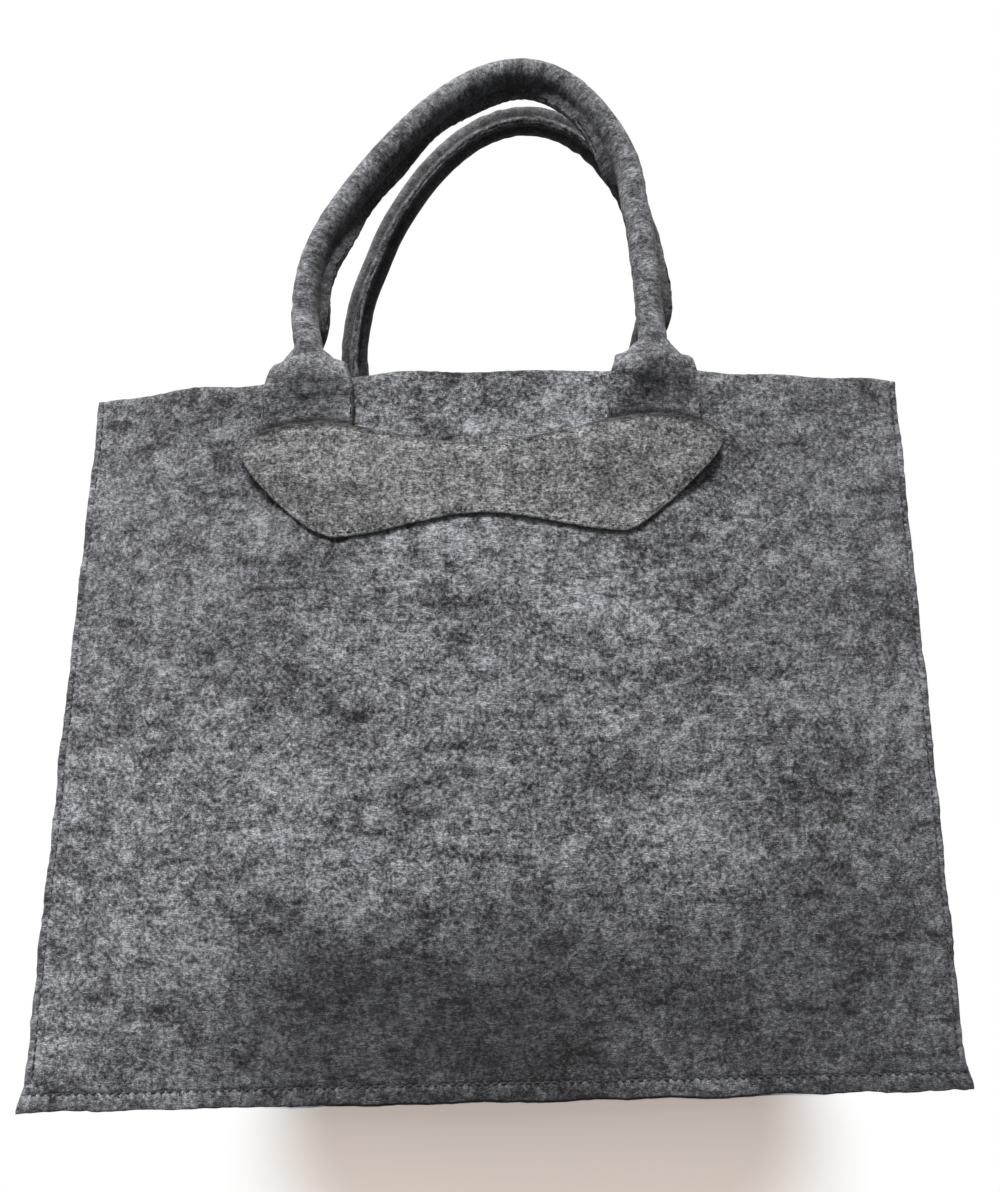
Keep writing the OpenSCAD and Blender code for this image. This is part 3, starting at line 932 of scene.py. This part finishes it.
@dataclass
class HandlePatch:
    """The paler patch sewn over the two ends of a handle.

    Attributes:
        face: The face that it is sewn to.
        shift: How far its middle is to the right of the panel's.
        form: The settled form of the bag.
        span: Distance between the middles of the two handle ends.
        strip_w: Width of a handle end.
        tip_drop: Depth of its pointed tips under the mouth.
        peak_drop: Depth of the peaks of its upper edge under the mouth.
        dip_drop: Depth of the dip between those peaks.
        lobe_drop: Depth of the lobes of its lower edge.
        arch_drop: Depth of the arch between those lobes.
        reach: How far it goes past a handle end.
        tab_cover: How far a handle end goes on under it.
        stitch_in: Distance of its stitches from its edge.
        tip_h: Height of its blunt tips.
        ramp: Distance over which it comes down beside a handle end.
        low_ramp: Distance over which it comes down below a handle end.
        ease: Distance by which it comes down later than a handle end stops.
    """

    face: Face
    shift: float
    form: BagForm = FORM
    span: float = 0.152
    strip_w: float = 0.042
    tip_drop: float = 0.036
    peak_drop: float = 0.021
    dip_drop: float = 0.032
    lobe_drop: float = 0.072
    arch_drop: float = 0.063
    reach: float = 0.009
    tab_cover: float = 0.018
    stitch_in: float = 0.0022
    tip_h: float = 0.008
    ramp: float = 0.007
    low_ramp: float = 0.018
    ease: float = 0.004

    @property
    def half(self) -> float:
        """Half the length of the patch from tip to tip."""
        return self.span / 2 + self.strip_w / 2 + self.reach

    def top(self, x: Array) -> Array:
        """Height of the upper edge: a dip between two peaks, then down to the tips."""
        a, peak = np.abs(x), self.span / 2
        inside = mix(self.dip_drop, self.peak_drop, smooth(a / peak))
        past = np.clip((a - peak) / (self.half - peak), 0.0, 1.0)
        outside = mix(self.peak_drop, self.tip_drop - self.tip_h, past**2)
        return self.form.height - np.where(a < peak, inside, outside)

    def bottom(self, x: Array) -> Array:
        """Height of the lower edge: an arch between two lobes, then up to the tips."""
        a, lobe = np.abs(x), self.span / 2 - 0.3 * self.strip_w
        inside = mix(self.arch_drop, self.lobe_drop, smooth(a / lobe))
        past = np.clip((a - lobe) / (self.half - lobe), 0.0, 1.0)
        outside = mix(self.lobe_drop, self.tip_drop, past**1.3) + 0.002 * np.sin(math.pi * past) * (x < 0)
        return self.form.height - np.where(a < lobe, inside, outside)

    def lift(self, x: Array, z: Array) -> Array:
        """How far the patch stands off the panel, over the handle ends under it."""
        beside = np.abs(np.abs(x) - self.span / 2)
        foot = self.form.height - self.peak_drop - self.tab_cover
        over = smooth((self.strip_w / 2 + self.ease + self.ramp - beside) / self.ramp)
        return self.form.gap + (self.form.felt + self.form.gap) * over * smooth(
            (z - foot + self.ease + self.low_ramp) / self.low_ramp)

    def place(self, x: Array, z: Array, out: Array) -> Array:
        """Points of the patch at x from its own middle, out in front of its back face."""
        y = self.form.face_y(x + self.shift, z, self.face.seed) + self.lift(x, z) + out
        return self.form.settled(np.stack([x + self.shift, -y, z], axis=-1))

    def build(self) -> bpy.types.Object:
        """The patch: shares of its length and of its height between its two edges."""
        wide = stations(2 * self.half, 0.0022) - self.half
        rows = np.array([0, 0.003, 0.010, 0.022, 0.04, 0.06])
        tall = np.unique(np.concatenate([rows, 1 - rows, np.linspace(0.08, 0.92, 22)]))
        x, t = np.meshgrid(wide, tall)
        low, high = self.bottom(x), self.top(x)
        tip = np.clip((np.abs(x) - self.half + 0.006) / 0.006, 0.0, 1.0)
        blunt = 1.0 - 0.8 * (1.0 - np.sqrt(1.0 - tip**2))
        z = mix(low, high, 0.5 + (t - 0.5) * blunt)
        edge = np.minimum(np.minimum(t, 1.0 - t) * (high - low) * blunt * 0.9, self.half - np.abs(x))
        groove = pressed(edge - self.stitch_in, x) * 0.35
        lumps = 0.0001 * ripple(x, z, 0.012, self.face.seed + 31)
        sunk = 0.0004 * np.exp(-((edge / 0.002) ** 2)) * (1.0 - smooth((z - 0.279) / 0.006))
        middle = self.place(x, z, self.form.patch_felt / 2 - groove + lumps - sunk)
        cloth = np.stack([x + 3.4, z + (0.0 if self.face is Face.FRONT else 0.6)], axis=-1)
        # Painted shadow: a dark line along the patch's cut edge, wider over the handle ends, with a painted
        # highlight band just inside it.
        over = np.exp(-((self.lift(x, z) - self.form.felt) / 0.002) ** 2)
        rim = np.where(t > 0.5, mix(0.0006, 0.0017, over), 0.0008)
        dark, light = np.exp(-((edge / rim) ** 2)), np.exp(-(((edge - 0.0026) / 0.0008) ** 2))
        tone_and_painted_shade = 1.0 - 0.88 * dark + 0.25 * light
        face = self.face
        cut = FeltCut(middle, edge, cloth, self.form.patch_felt, face.seed + 33, face.mirrored, tone_and_painted_shade)
        return cut.build(f"{face.value}_felt_patch")

    def sewing(self) -> bpy.types.Object:
        """Stitches round the patch, a little in from its edge."""
        x = np.linspace(-1.0, 1.0, 121) * (self.half - 2.2 * self.stitch_in)
        lower = np.stack([x, self.bottom(x) + self.stitch_in * 1.15], axis=1)
        upper = np.stack([x, self.top(x) - self.stitch_in * 1.1], axis=1)[::-1]
        rim = np.concatenate([lower, upper, lower[:1]])
        points = self.place(rim[:, 0], rim[:, 1], np.full(len(rim), self.form.patch_felt - 0.0004))
        normals = np.tile([0.0, -1.0, 0.0], (len(rim), 1))
        name = f"{self.face.value}_patch_stitches"
        sewn = Stitching(pitch=0.0032, length=0.0023, radius=0.00026)
        return sewn.build(name, [StitchLine(points, normals)], self.face.mirrored)


# ---- The handles ----

@dataclass
class Handle:
    """One handle: a strip of felt that is flat at its two sewn ends and rolled between.

    Attributes:
        face: The face that it is sewn to.
        shift: How far it is sewn to the right of the middle.
        lean: How far it leans in over the mouth at rest, in degrees.
        arch: Control points of its arch, as shares of half the span and of the rise.
        twist: Keys of the seam's turn from the back of the tube towards the inside of
            the loop, in degrees, along the strip.
        hinge: Middle of the hinge line.
        tone: Share of the felt's colour that the strip has: partly its darker felt and partly
        painted shade, more of it on the back handle.
        form: The settled form of the bag.
        span: Distance between the middles of its two ends.
        rise: Height of its arch, on the rope's line.
        strip_w: Width of the flat strip.
        hinge_gap: Distance from the hinge to where the arch starts.
        foot: Length of each sewn end.
        thick: Thickness of its felt.
        tube_r: Radius of the tube, to the middle of the felt.
        lip: Half the distance between the middles of the two lips of the seam.
        dome_low: Distance below the hinge at which the strip starts to narrow.
        dome_top: Distance above the hinge at which it is a tube.
        puff: How far it stands off the panel at the mouth.
        axis_in: Distance of the tube's middle behind the strip's own plane.
        neck: Turn round the tube at which the seam's lips leave it.
    """

    face: Face
    shift: float
    lean: float
    arch: tuple[tuple[float, float], ...]
    twist: list[tuple[float, float]]
    hinge: Vector
    tone: float
    form: BagForm = FORM
    span: float = 0.152
    rise: float = 0.148
    strip_w: float = 0.042
    hinge_gap: float = 0.004
    foot: float = 0.041
    thick: float = 0.0026
    tube_r: float = 0.005
    lip: float = 0.00135
    dome_low: float = 0.032
    dome_top: float = 0.012
    puff: float = 0.0055
    axis_in: float = 0.00825
    neck: float = math.radians(155.0)

    def path(self) -> tuple[Array, Array, Array]:
        """Line up the middle of the strip, in the plane of the arch.

        The arch is one Bezier curve of the control points; straight feet run down from
        its two ends.

        Returns:
            The points, their distance along the line, and their distance past the
            nearer hinge line.
        """
        t = np.linspace(0.0, 1.0, 900)[:, None]
        order = len(self.arch) - 1
        curve = sum(math.comb(order, k) * t**k * (1 - t) ** (order - k) * np.array(point)
                    for k, point in enumerate(self.arch))
        curve = curve * [self.span / 2, self.rise] + [0.0, self.hinge_gap]
        climb = np.linspace(-self.foot, self.hinge_gap, 61)[:-1]
        left = np.stack([np.full(60, curve[0, 0]), climb], axis=1)
        right = left[::-1] * [-1.0, 1.0]
        line = np.concatenate([left, curve, right])
        gone = np.concatenate([[0.0], np.cumsum(np.linalg.norm(np.diff(line, axis=0), axis=1))])
        at = stations(gone[-1], 0.0015)
        return across(line, gone, at), at, np.minimum(at, gone[-1] - at) - self.foot

    def width(self, past: Array) -> Array:
        """Width seen from the front: a dome from flat strip to tube, by 1 - t^5 upwards."""
        t = np.clip((past + self.dome_low) / (self.dome_low + self.dome_top), 0.0, 1.0)
        return mix(2 * self.tube_r, self.strip_w, 1.0 - t**5)

    def rolled(self, past: Array) -> Array:
        """Share of the full roll that gives the dome's width.

        Rolled by a share r, the strip is 2R/r sin(min(90 degrees, r W / 2R)) wide, with R
        for the tube's radius and W for the strip's width. The share is read off that.
        """
        share = np.linspace(0.02, 1.0, 300)
        turn = np.minimum(math.pi / 2, share * self.strip_w / 2 / self.tube_r)
        wide = 2 * self.tube_r / share * np.sin(turn)
        return np.interp(-self.width(past), -wide, share)

    def profile(self, s: Array, rolled: Array) -> tuple[Array, Array]:
        """Cross-section of the strip: sideways and inward places of its middle surface.

        The strip turns at an even rate round the tube, turns back in a tight neck, and
        ends in two straight lips that lie side by side. Its heading is that turn times
        the share rolled, and the places are the running sums of the heading's cosine
        and sine.

        Args:
            s: Places across the strip, from its middle.
            rolled: Share of the full roll at each place along the strip.

        Returns:
            Two arrays, one row for each place along the strip.
        """
        fine = np.linspace(0.0, self.strip_w / 2, 421)
        back_r = self.tube_r - 2 * self.lip
        first = self.tube_r * self.neck
        turned_back = np.clip((fine - first) / back_r, 0.0, self.neck - math.pi / 2)
        turn = np.minimum(fine, first) / self.tube_r - turned_back
        heading = rolled[:, None] * turn[None, :]
        step = fine[1]
        gone = [np.cumsum(part, axis=1) * step for part in (np.cos(heading), np.sin(heading))]
        gone = [part - part[:, :1] for part in gone]
        seat = np.rint(np.abs(s) / step).astype(int)
        return gone[0][:, seat] * np.sign(s), gone[1][:, seat]

    def leaned(self, x: Array, y: Array, z: Array) -> Array:
        """Points of the handle's own frame put on its leaning hinge, for the front."""
        a = math.radians(self.lean)
        return np.stack([x + self.hinge.x, y * math.cos(a) + z * math.sin(a) - abs(self.hinge.y),
                         z * math.cos(a) - y * math.sin(a) + self.hinge.z], axis=-1)

    def frames(self) -> tuple[Array, ...]:
        """Path, distance, distance past the hinge, side vectors, roll and twist."""
        line, at, past = self.path()
        run = unit(np.gradient(line, axis=0))
        side = np.stack([run[:, 1], -run[:, 0]], axis=1)
        rolled = self.rolled(past)
        twist = np.radians(keyed(at / at[-1], self.twist)) * smooth((past - 0.010) / 0.024)
        return line, at, past, side, rolled, twist

    def strip(self) -> tuple[Array, Array, Array, Array]:
        """Middle surface of the strip.

        Returns:
            The grid of points, the places along and across it, and the distance past
            the hinge of each of its rows.
        """
        line, at, past, side, rolled, twist = self.frames()
        half = np.concatenate([np.linspace(0.0, 0.0135, 13), np.linspace(0.0142, 0.0172, 7),
                               [0.0181, 0.019, 0.0198], self.strip_w / 2 - RIM[::-1]])
        s = np.concatenate([-half[::-1], half[1:]])
        u, n = self.profile(s, rolled)
        uneven = 1.0 + 0.03 * ripple(at, 0 * at, 0.045, self.face.seed + 61)[:, None] * smooth(
            (np.abs(s) - 0.016) / 0.004)
        n = n * mix(1.0, uneven, rolled[:, None])
        n = n + self.thick / 2 - self.axis_in
        cos, sin = np.cos(twist)[:, None], np.sin(twist)[:, None]
        u, n = u * cos + n * sin, n * cos - u * sin + self.axis_in
        wobble = 0.00022 * ripple(at, 0 * at, 0.04, self.face.seed + 62)[:, None]
        arched = self.leaned(line[:, :1] + (u + wobble) * side[:, :1], n, line[:, 1:] + u * side[:, 1:])
        foot_x = line[:, :1] + s * side[:, :1] * self.width(past)[:, None] / self.strip_w + self.shift
        foot_z = self.hinge.z + line[:, 1:] + 0 * s
        face_y = self.form.face_y(foot_x, np.minimum(foot_z, self.form.height), self.face.seed)
        puff = self.puff * smooth((past + 0.019) / 0.019)[:, None] * (1.0 - (2 * s / self.strip_w) ** 2)
        foot_y = -face_y - self.form.gap - self.form.felt / 2 - puff
        flat = self.form.settled(np.stack([foot_x, foot_y, foot_z], axis=-1))
        share = smooth((past + 0.0025) / 0.0115)[:, None, None]
        return mix(flat, arched, share), at, s, past

    def build(self) -> bpy.types.Object:
        """The strip of felt, from one sewn end to the other."""
        middle, at, s, _ = self.strip()
        wide, along = np.meshgrid(s, at)
        middle = middle + 0.0001 * ripple(along, wide, 0.009, self.face.seed + 63)[..., None]
        depth = np.minimum(self.strip_w / 2 - np.abs(wide), np.minimum(along, at[-1] - along))
        cloth = np.stack([wide + 4.4 + (0.0 if self.face is Face.FRONT else 0.4), along], axis=-1)
        tone_and_painted_shade = self._shade(wide, along, at[-1])
        cut = FeltCut(middle, depth, cloth, self.thick, self.face.seed + 64, self.face.mirrored, tone_and_painted_shade)
        return cut.build(f"{self.face.value}_felt_handle")

    def _shade(self, wide: Array, along: Array, length: float) -> Array:
        """Share of its colour that the strip keeps, a product of bells and smooth steps.

        It is the strip's tone times painted shade: shade is painted in the middle of each
        dome, in the fold over it, towards the tube's seam, and as a shadow just above the
        patch. Its cut edges are painted dark, as shadow, where it is sewn, and are light
        where they are the lips of the seam.

        Args:
            wide: Places across the strip, from its middle.
            along: Distances along the strip.
            length: Length of the strip.

        Returns:
            The share at each point.
        """
        past = np.minimum(along, length - along) - self.foot
        # Painted shade in the middle of each dome and in the fold over it.
        dome = np.exp(-(((past + 0.004) / 0.012) ** 2)) * np.exp(-((wide / 0.013) ** 2))
        fold = np.exp(-(((past - self.dome_top) / 0.0018) ** 2)) * np.exp(-((wide / 0.008) ** 2))
        tone = mix(mix(1.0, self.tone, 0.5), self.tone, smooth((past - 0.004) / 0.01))
        # Cut edges painted dark as shadow where sewn, lighter at the lips.
        edge = np.exp(-(((self.strip_w / 2 - np.abs(wide)) / CUT_BAND) ** 2))
        free = smooth((past - 0.006) / 0.012)
        shut = np.where((wide > 0) & (along < length / 2), -0.97, -0.35)
        # Painted shade towards the tube's seam.
        seam = free * smooth((np.abs(wide) - 0.006) / 0.009)
        # Painted shadow on the strip just above the patch's edge.
        above = self.hinge.z + past - HandlePatch(self.face, self.shift).top(self.span / 2 - wide)
        under = np.exp(-(((above - 0.0012) / 0.0017) ** 2))
        kept = tone * (1.0 - 0.4 * dome) * (1.0 - 0.55 * fold) * (1.0 + edge * mix(shut, 1.5, free))
        return kept * (1.0 - 0.55 * seam) * (1.0 - 0.95 * under)

    def rope(self) -> bpy.types.Object:
        """Rope inside the tube: three twisted strands, its radius r(1 + 0.1|cos 1.5a|)."""
        line, at, past, side, _, twist = self.frames()
        inside = past > 0.014
        line, at, past, side, twist = (part[inside] for part in (line, at, past, side, twist))
        off = self.thick / 2 + self.tube_r - self.axis_in
        turn = np.arange(24) / 24.0 * 2.0 * math.pi
        strands = 1.0 + 0.10 * np.abs(np.cos(1.5 * (turn[None, :] + at[:, None] * 160.0)))
        close = np.sqrt(np.clip((past - 0.014) / 0.003, 0.0, 1.0))[:, None]
        radius = (self.tube_r - self.thick / 2 - 0.0007) * strands * close
        u = (off * np.sin(twist))[:, None] + radius * np.cos(turn)
        n = (off * np.cos(twist) + self.axis_in)[:, None] + radius * np.sin(turn)
        points = self.leaned(line[:, :1] + u * side[:, :1], n, line[:, 1:] + u * side[:, 1:])
        index = np.arange(points.shape[0] * 24).reshape(-1, 24)
        index = np.concatenate([index, index[:, :1]], axis=1)
        caps = np.stack([index[0, :-1][::-1], index[-1, :-1]])
        points = points.reshape(-1, 3)
        faces = turned_over(points, [quads(index), caps], self.face.mirrored)
        cloth = np.stack(np.broadcast_arrays(at[:, None], turn[None, :] * self.tube_r, 0.0), axis=-1)
        return make_object(f"{self.face.value}_handle_rope", points, faces, cloth.reshape(-1, 3))

    def sewing(self) -> bpy.types.Object:
        """Stitches through the two lips of the tube, on both sides."""
        middle, _, s, past = self.strip()
        normal = grid_normals(middle)
        rows = past > 0.014
        lines = []
        for place in (-0.0186, 0.0186):
            seat = int(np.argmin(np.abs(s - place)))
            face = middle[rows, seat] + normal[rows, seat] * (self.thick / 2 - 0.0001)
            lines.append(StitchLine(face, normal[rows, seat]))
        name = f"{self.face.value}_handle_stitches"
        return Stitching(radius=0.00036).build(name, lines, self.face.mirrored)


# ---- Floor, light and camera ----

@dataclass(frozen=True)
class Lamp:
    """A round soft light: its place, what it is aimed at, its width and its power."""

    name: str
    place: tuple[float, float, float]
    aim: tuple[float, float, float]
    size: float
    power: float

    def build(self, scene: bpy.types.Scene) -> None:
        """Hangs the lamp in the scene."""
        lamp = bpy.data.lights.new(self.name, "AREA")
        lamp.shape = "DISK"
        lamp.size = self.size
        lamp.energy = self.power
        lamp.color = (1.0, 0.985, 0.965)
        holder = bpy.data.objects.new(self.name, lamp)
        holder.location = self.place
        sight = Vector(self.aim) - Vector(self.place)
        holder.rotation_euler = sight.to_track_quat("-Z", "Y").to_euler()
        scene.collection.objects.link(holder)


LAMPS = (
    Lamp("Key", (-0.55, -1.75, 3.3), (0.0, -0.05, 0.16), 1.3, 175.0),
    Lamp("Top", (-0.3, 0.35, 2.2), (0.0, 0.0, 0.2), 1.0, 34.0),
    Lamp("Back", (0.7, 1.9, 1.2), (0.0, 0.0, 0.15), 1.2, 12.0),
)


@dataclass
class Studio:
    """Pale floor, soft light and the camera.

    Attributes:
        camera_at: Place of the camera, which looks level along +Y.
        lens: Its focal length in millimetres, for a sensor 36 mm long.
        roll: How far it is turned about its own axis, in degrees.
    """

    camera_at: Vector
    lens: float = 30.26
    roll: float = -1.4

    def build(self) -> None:
        """Sets up everything that isn't part of the bag."""
        scene = bpy.context.scene
        scene.view_settings.view_transform = "Standard"
        self._world(scene)
        self._floor(scene)
        for lamp in LAMPS:
            lamp.build(scene)
        lens = bpy.data.cameras.new("Camera")
        lens.lens = self.lens
        lens.sensor_width = 36.0
        lens.clip_start = 0.01
        lens.clip_end = 50.0
        camera = bpy.data.objects.new("Camera", lens)
        turn = Matrix.Rotation(math.radians(90.0), 4, "X") @ Matrix.Rotation(math.radians(self.roll), 4, "Z")
        camera.matrix_world = Matrix.Translation(self.camera_at) @ turn
        scene.collection.objects.link(camera)
        scene.camera = camera

    def _world(self, scene: bpy.types.Scene) -> None:
        """White surroundings, which light the bag more from above than from below."""
        world = bpy.data.worlds.new("Studio")
        world.use_nodes = True
        scene.world = world
        bench = Bench(world.node_tree)
        seen = bench.add("ShaderNodeLightPath", {}, {}, "Is Camera Ray")
        place = bench.add("ShaderNodeTexCoord", {}, {}, "Generated")
        slope = bench.add("ShaderNodeVectorMath", {"operation": "DOT_PRODUCT"},
                          {0: place, 1: (-0.35, -0.35, 0.87)}, "Value")
        sky = bench.add("ShaderNodeMapRange", {}, {"Value": slope, "From Min": -0.25, "From Max": 1.0,
                                                   "To Min": 0.02, "To Max": 0.42})
        level = bench.add("ShaderNodeMapRange", {}, {"Value": seen, "To Min": sky, "To Max": 1.0})
        backdrop = world.node_tree.nodes["Background"]
        bench.feed(backdrop.inputs["Color"], (1.0, 1.0, 1.0, 1.0))
        bench.feed(backdrop.inputs["Strength"], level)

    def _floor(self, scene: bpy.types.Scene) -> None:
        """Round floor: a dark warm oval is painted under the bag as a shadow, where it
        also takes soft shadows, and it fades to white.
        """
        turn = np.linspace(0.0, 2.0 * math.pi, 97)[:-1]
        rings = np.array([0.3, 1.0, 9.0])[:, None]
        rim = np.stack(np.broadcast_arrays(rings * np.cos(turn), rings * np.sin(turn), 0.0), axis=-1)
        points = np.concatenate([np.zeros((1, 3)), rim.reshape(-1, 3)]) + [0.0, 0.0, -0.0004]
        index = 1 + np.arange(rim.shape[0] * 96).reshape(-1, 96)
        index = np.concatenate([index, index[:, :1]], axis=1)
        spokes = np.stack([np.zeros(96, int), index[0, :-1], index[0, 1:]], axis=1)
        faces = spokes.tolist() + quads(index)[:, ::-1].tolist()
        mesh = bpy.data.meshes.new("Floor")
        mesh.from_pydata(points.tolist(), [], faces)
        floor = bpy.data.objects.new("Floor", mesh)
        scene.collection.objects.link(floor)
        floor.visible_diffuse = False
        bench = MaterialBench("Pale_floor")
        place = bench.add("ShaderNodeTexCoord", {}, {}, "Object")
        # Inside this oval the floor's dark warm colour is a painted shadow under the bag; outside it fades to
        # a white glow.
        oval = bench.mapped(place, (8.0, 6.25, 1.0), move=(-0.16, 0.375, 0.0))
        far = bench.add("ShaderNodeVectorMath", {"operation": "LENGTH"}, {0: oval}, "Value")
        fade = far.ramp(0.70, 1.06)
        bench.finish(Base_Color=(0.361, 0.317, 0.290, 1.0), Roughness=0.9)
        glow = bench.add("ShaderNodeEmission", {}, {"Color": (1.0, 1.0, 1.0, 1.0)})
        matt = Wire(bench, bench.shader.outputs[0])
        both = bench.add("ShaderNodeMixShader", {}, {0: fade, 1: matt, 2: glow})
        bench.feed(bench.tree.nodes["Material Output"].inputs["Surface"], both)
        mesh.materials.append(bench.material)


# ---- Assembly ----

# How far each handle and its patch are sewn to the right of the middle.
FRONT_SHIFT, BACK_SHIFT = -0.007, 0.0
FRONT_ARCH = ((-1, 0), (-1, 0.85), (-1, -0.35), (0.35, 2.7), (1.3, 0.55), (1, 0.25), (1, 0))
BACK_ARCH = ((-1, 0), (-1, 0.55), (-1.25, -0.3), (0.1, 3.25), (1.95, -0.2), (1, 0.65), (1, 0))
FRONT_TWIST = [(0.0, 80.0), (0.20, 80.0), (0.34, 38.0), (0.48, 38.0), (0.60, 85.0), (0.66, 80.0),
               (0.74, -40.0), (0.84, -80.0), (1.0, -80.0)]
BACK_TWIST = [(0.0, 6.0), (0.25, 9.0), (0.5, 21.0), (0.75, 14.0), (1.0, 6.0)]
# Flat sizes of the cut pieces of felt, and the area of a patch's curved outline.
PANEL_FLAT, SIDE_FLAT, BASE_FLAT, PATCH_FLAT = (0.404, 0.311), (0.152, 0.308), (0.402, 0.163), (0.212, 0.051)
CAMERA_AT = Vector((0.007, -0.4956, 0.2127))


def build_body(shop: Workshop) -> None:
    """Builds the panels, the base and their sewing, which stand still.

    Args:
        shop: Where the pieces are dressed.
    """
    body = BagBody()
    sheets: list[tuple[bpy.types.Object, tuple[float, float], str]] = []
    for face in Face:
        panel = shop.dress(body.panel(face), Finish.BODY, f"{face.value}_panel")
        sheets.append((panel, PANEL_FLAT, "stretched"))
        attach(shop.dress(body.base_sewing(face), Finish.THREAD, f"{face.value}_base_seam_thread"), "bag")
        for right in (False, True):
            node = f"{face.value}_{hand(right)}_seam_thread"
            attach(shop.dress(body.side_sewing(face, right), Finish.THREAD, node), "bag")
    for right in (False, True):
        side = shop.dress(body.side(right), Finish.BODY, f"{hand(right)}_side_panel")
        sheets.append((side, SIDE_FLAT, "folded"))
        node = f"{hand(right)}_base_seam_thread"
        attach(shop.dress(body.side_base_sewing(right), Finish.THREAD, node), "bag")
    sheets.append((shop.dress(body.base(), Finish.BODY, "base_panel"), BASE_FLAT, "folded"))
    for sheet, flat, held in sheets:
        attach(sheet, "bag")


def build_face(shop: Workshop, patch: HandlePatch, handle: Handle) -> None:
    """Builds one face's patch and handle.

    Args:
        shop: Where the pieces are dressed.
        patch: The patch.
        handle: The handle that is sewn under it.
    """
    name = patch.face.value
    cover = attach(shop.dress(patch.build(), Finish.PATCH, f"{name}_patch"), "bag")
    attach(shop.dress(patch.sewing(), Finish.THREAD, f"{name}_patch_thread"), "bag")
    nodes = (f"{name}_left_tab", f"{name}_right_tab", f"{name}_handle_cover")
    strip = shop.dress(handle.build(), Finish.BODY, *nodes)
    _, at, _ = handle.path()
    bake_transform(strip)
    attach(shop.dress(handle.rope(), Finish.ROPE, f"{name}_handle_core"), f"{name}_handle")
    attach(shop.dress(handle.sewing(), Finish.THREAD, f"{name}_handle_thread"), f"{name}_handle")


def main() -> None:
    """Builds the bag and its studio."""
    logging.basicConfig(level=logging.INFO, format="%(name)s: %(message)s")
    hinges = {joint["child"]: Vector(joint["pos_m"]) for joint in frame["joints"]}
    Studio(CAMERA_AT).build()
    shop = Workshop(all_finishes())
    build_body(shop)
    # Each handle's tone is partly darker felt and partly painted shade; the back handle's lower tone paints
    # more shade.
    build_face(shop, HandlePatch(Face.FRONT, FRONT_SHIFT),
               Handle(Face.FRONT, FRONT_SHIFT, lean=13.0, arch=FRONT_ARCH, twist=FRONT_TWIST,
                      hinge=hinges["front_handle"], tone=0.66))
    build_face(shop, HandlePatch(Face.BACK, BACK_SHIFT),
               Handle(Face.BACK, BACK_SHIFT, lean=5.0, arch=BACK_ARCH, twist=BACK_TWIST,
                      hinge=hinges["back_handle"], tone=0.5, tube_r=0.0058))
    LOG.info("%d pieces", shop.count)


if __name__ == "__main__":
    main()
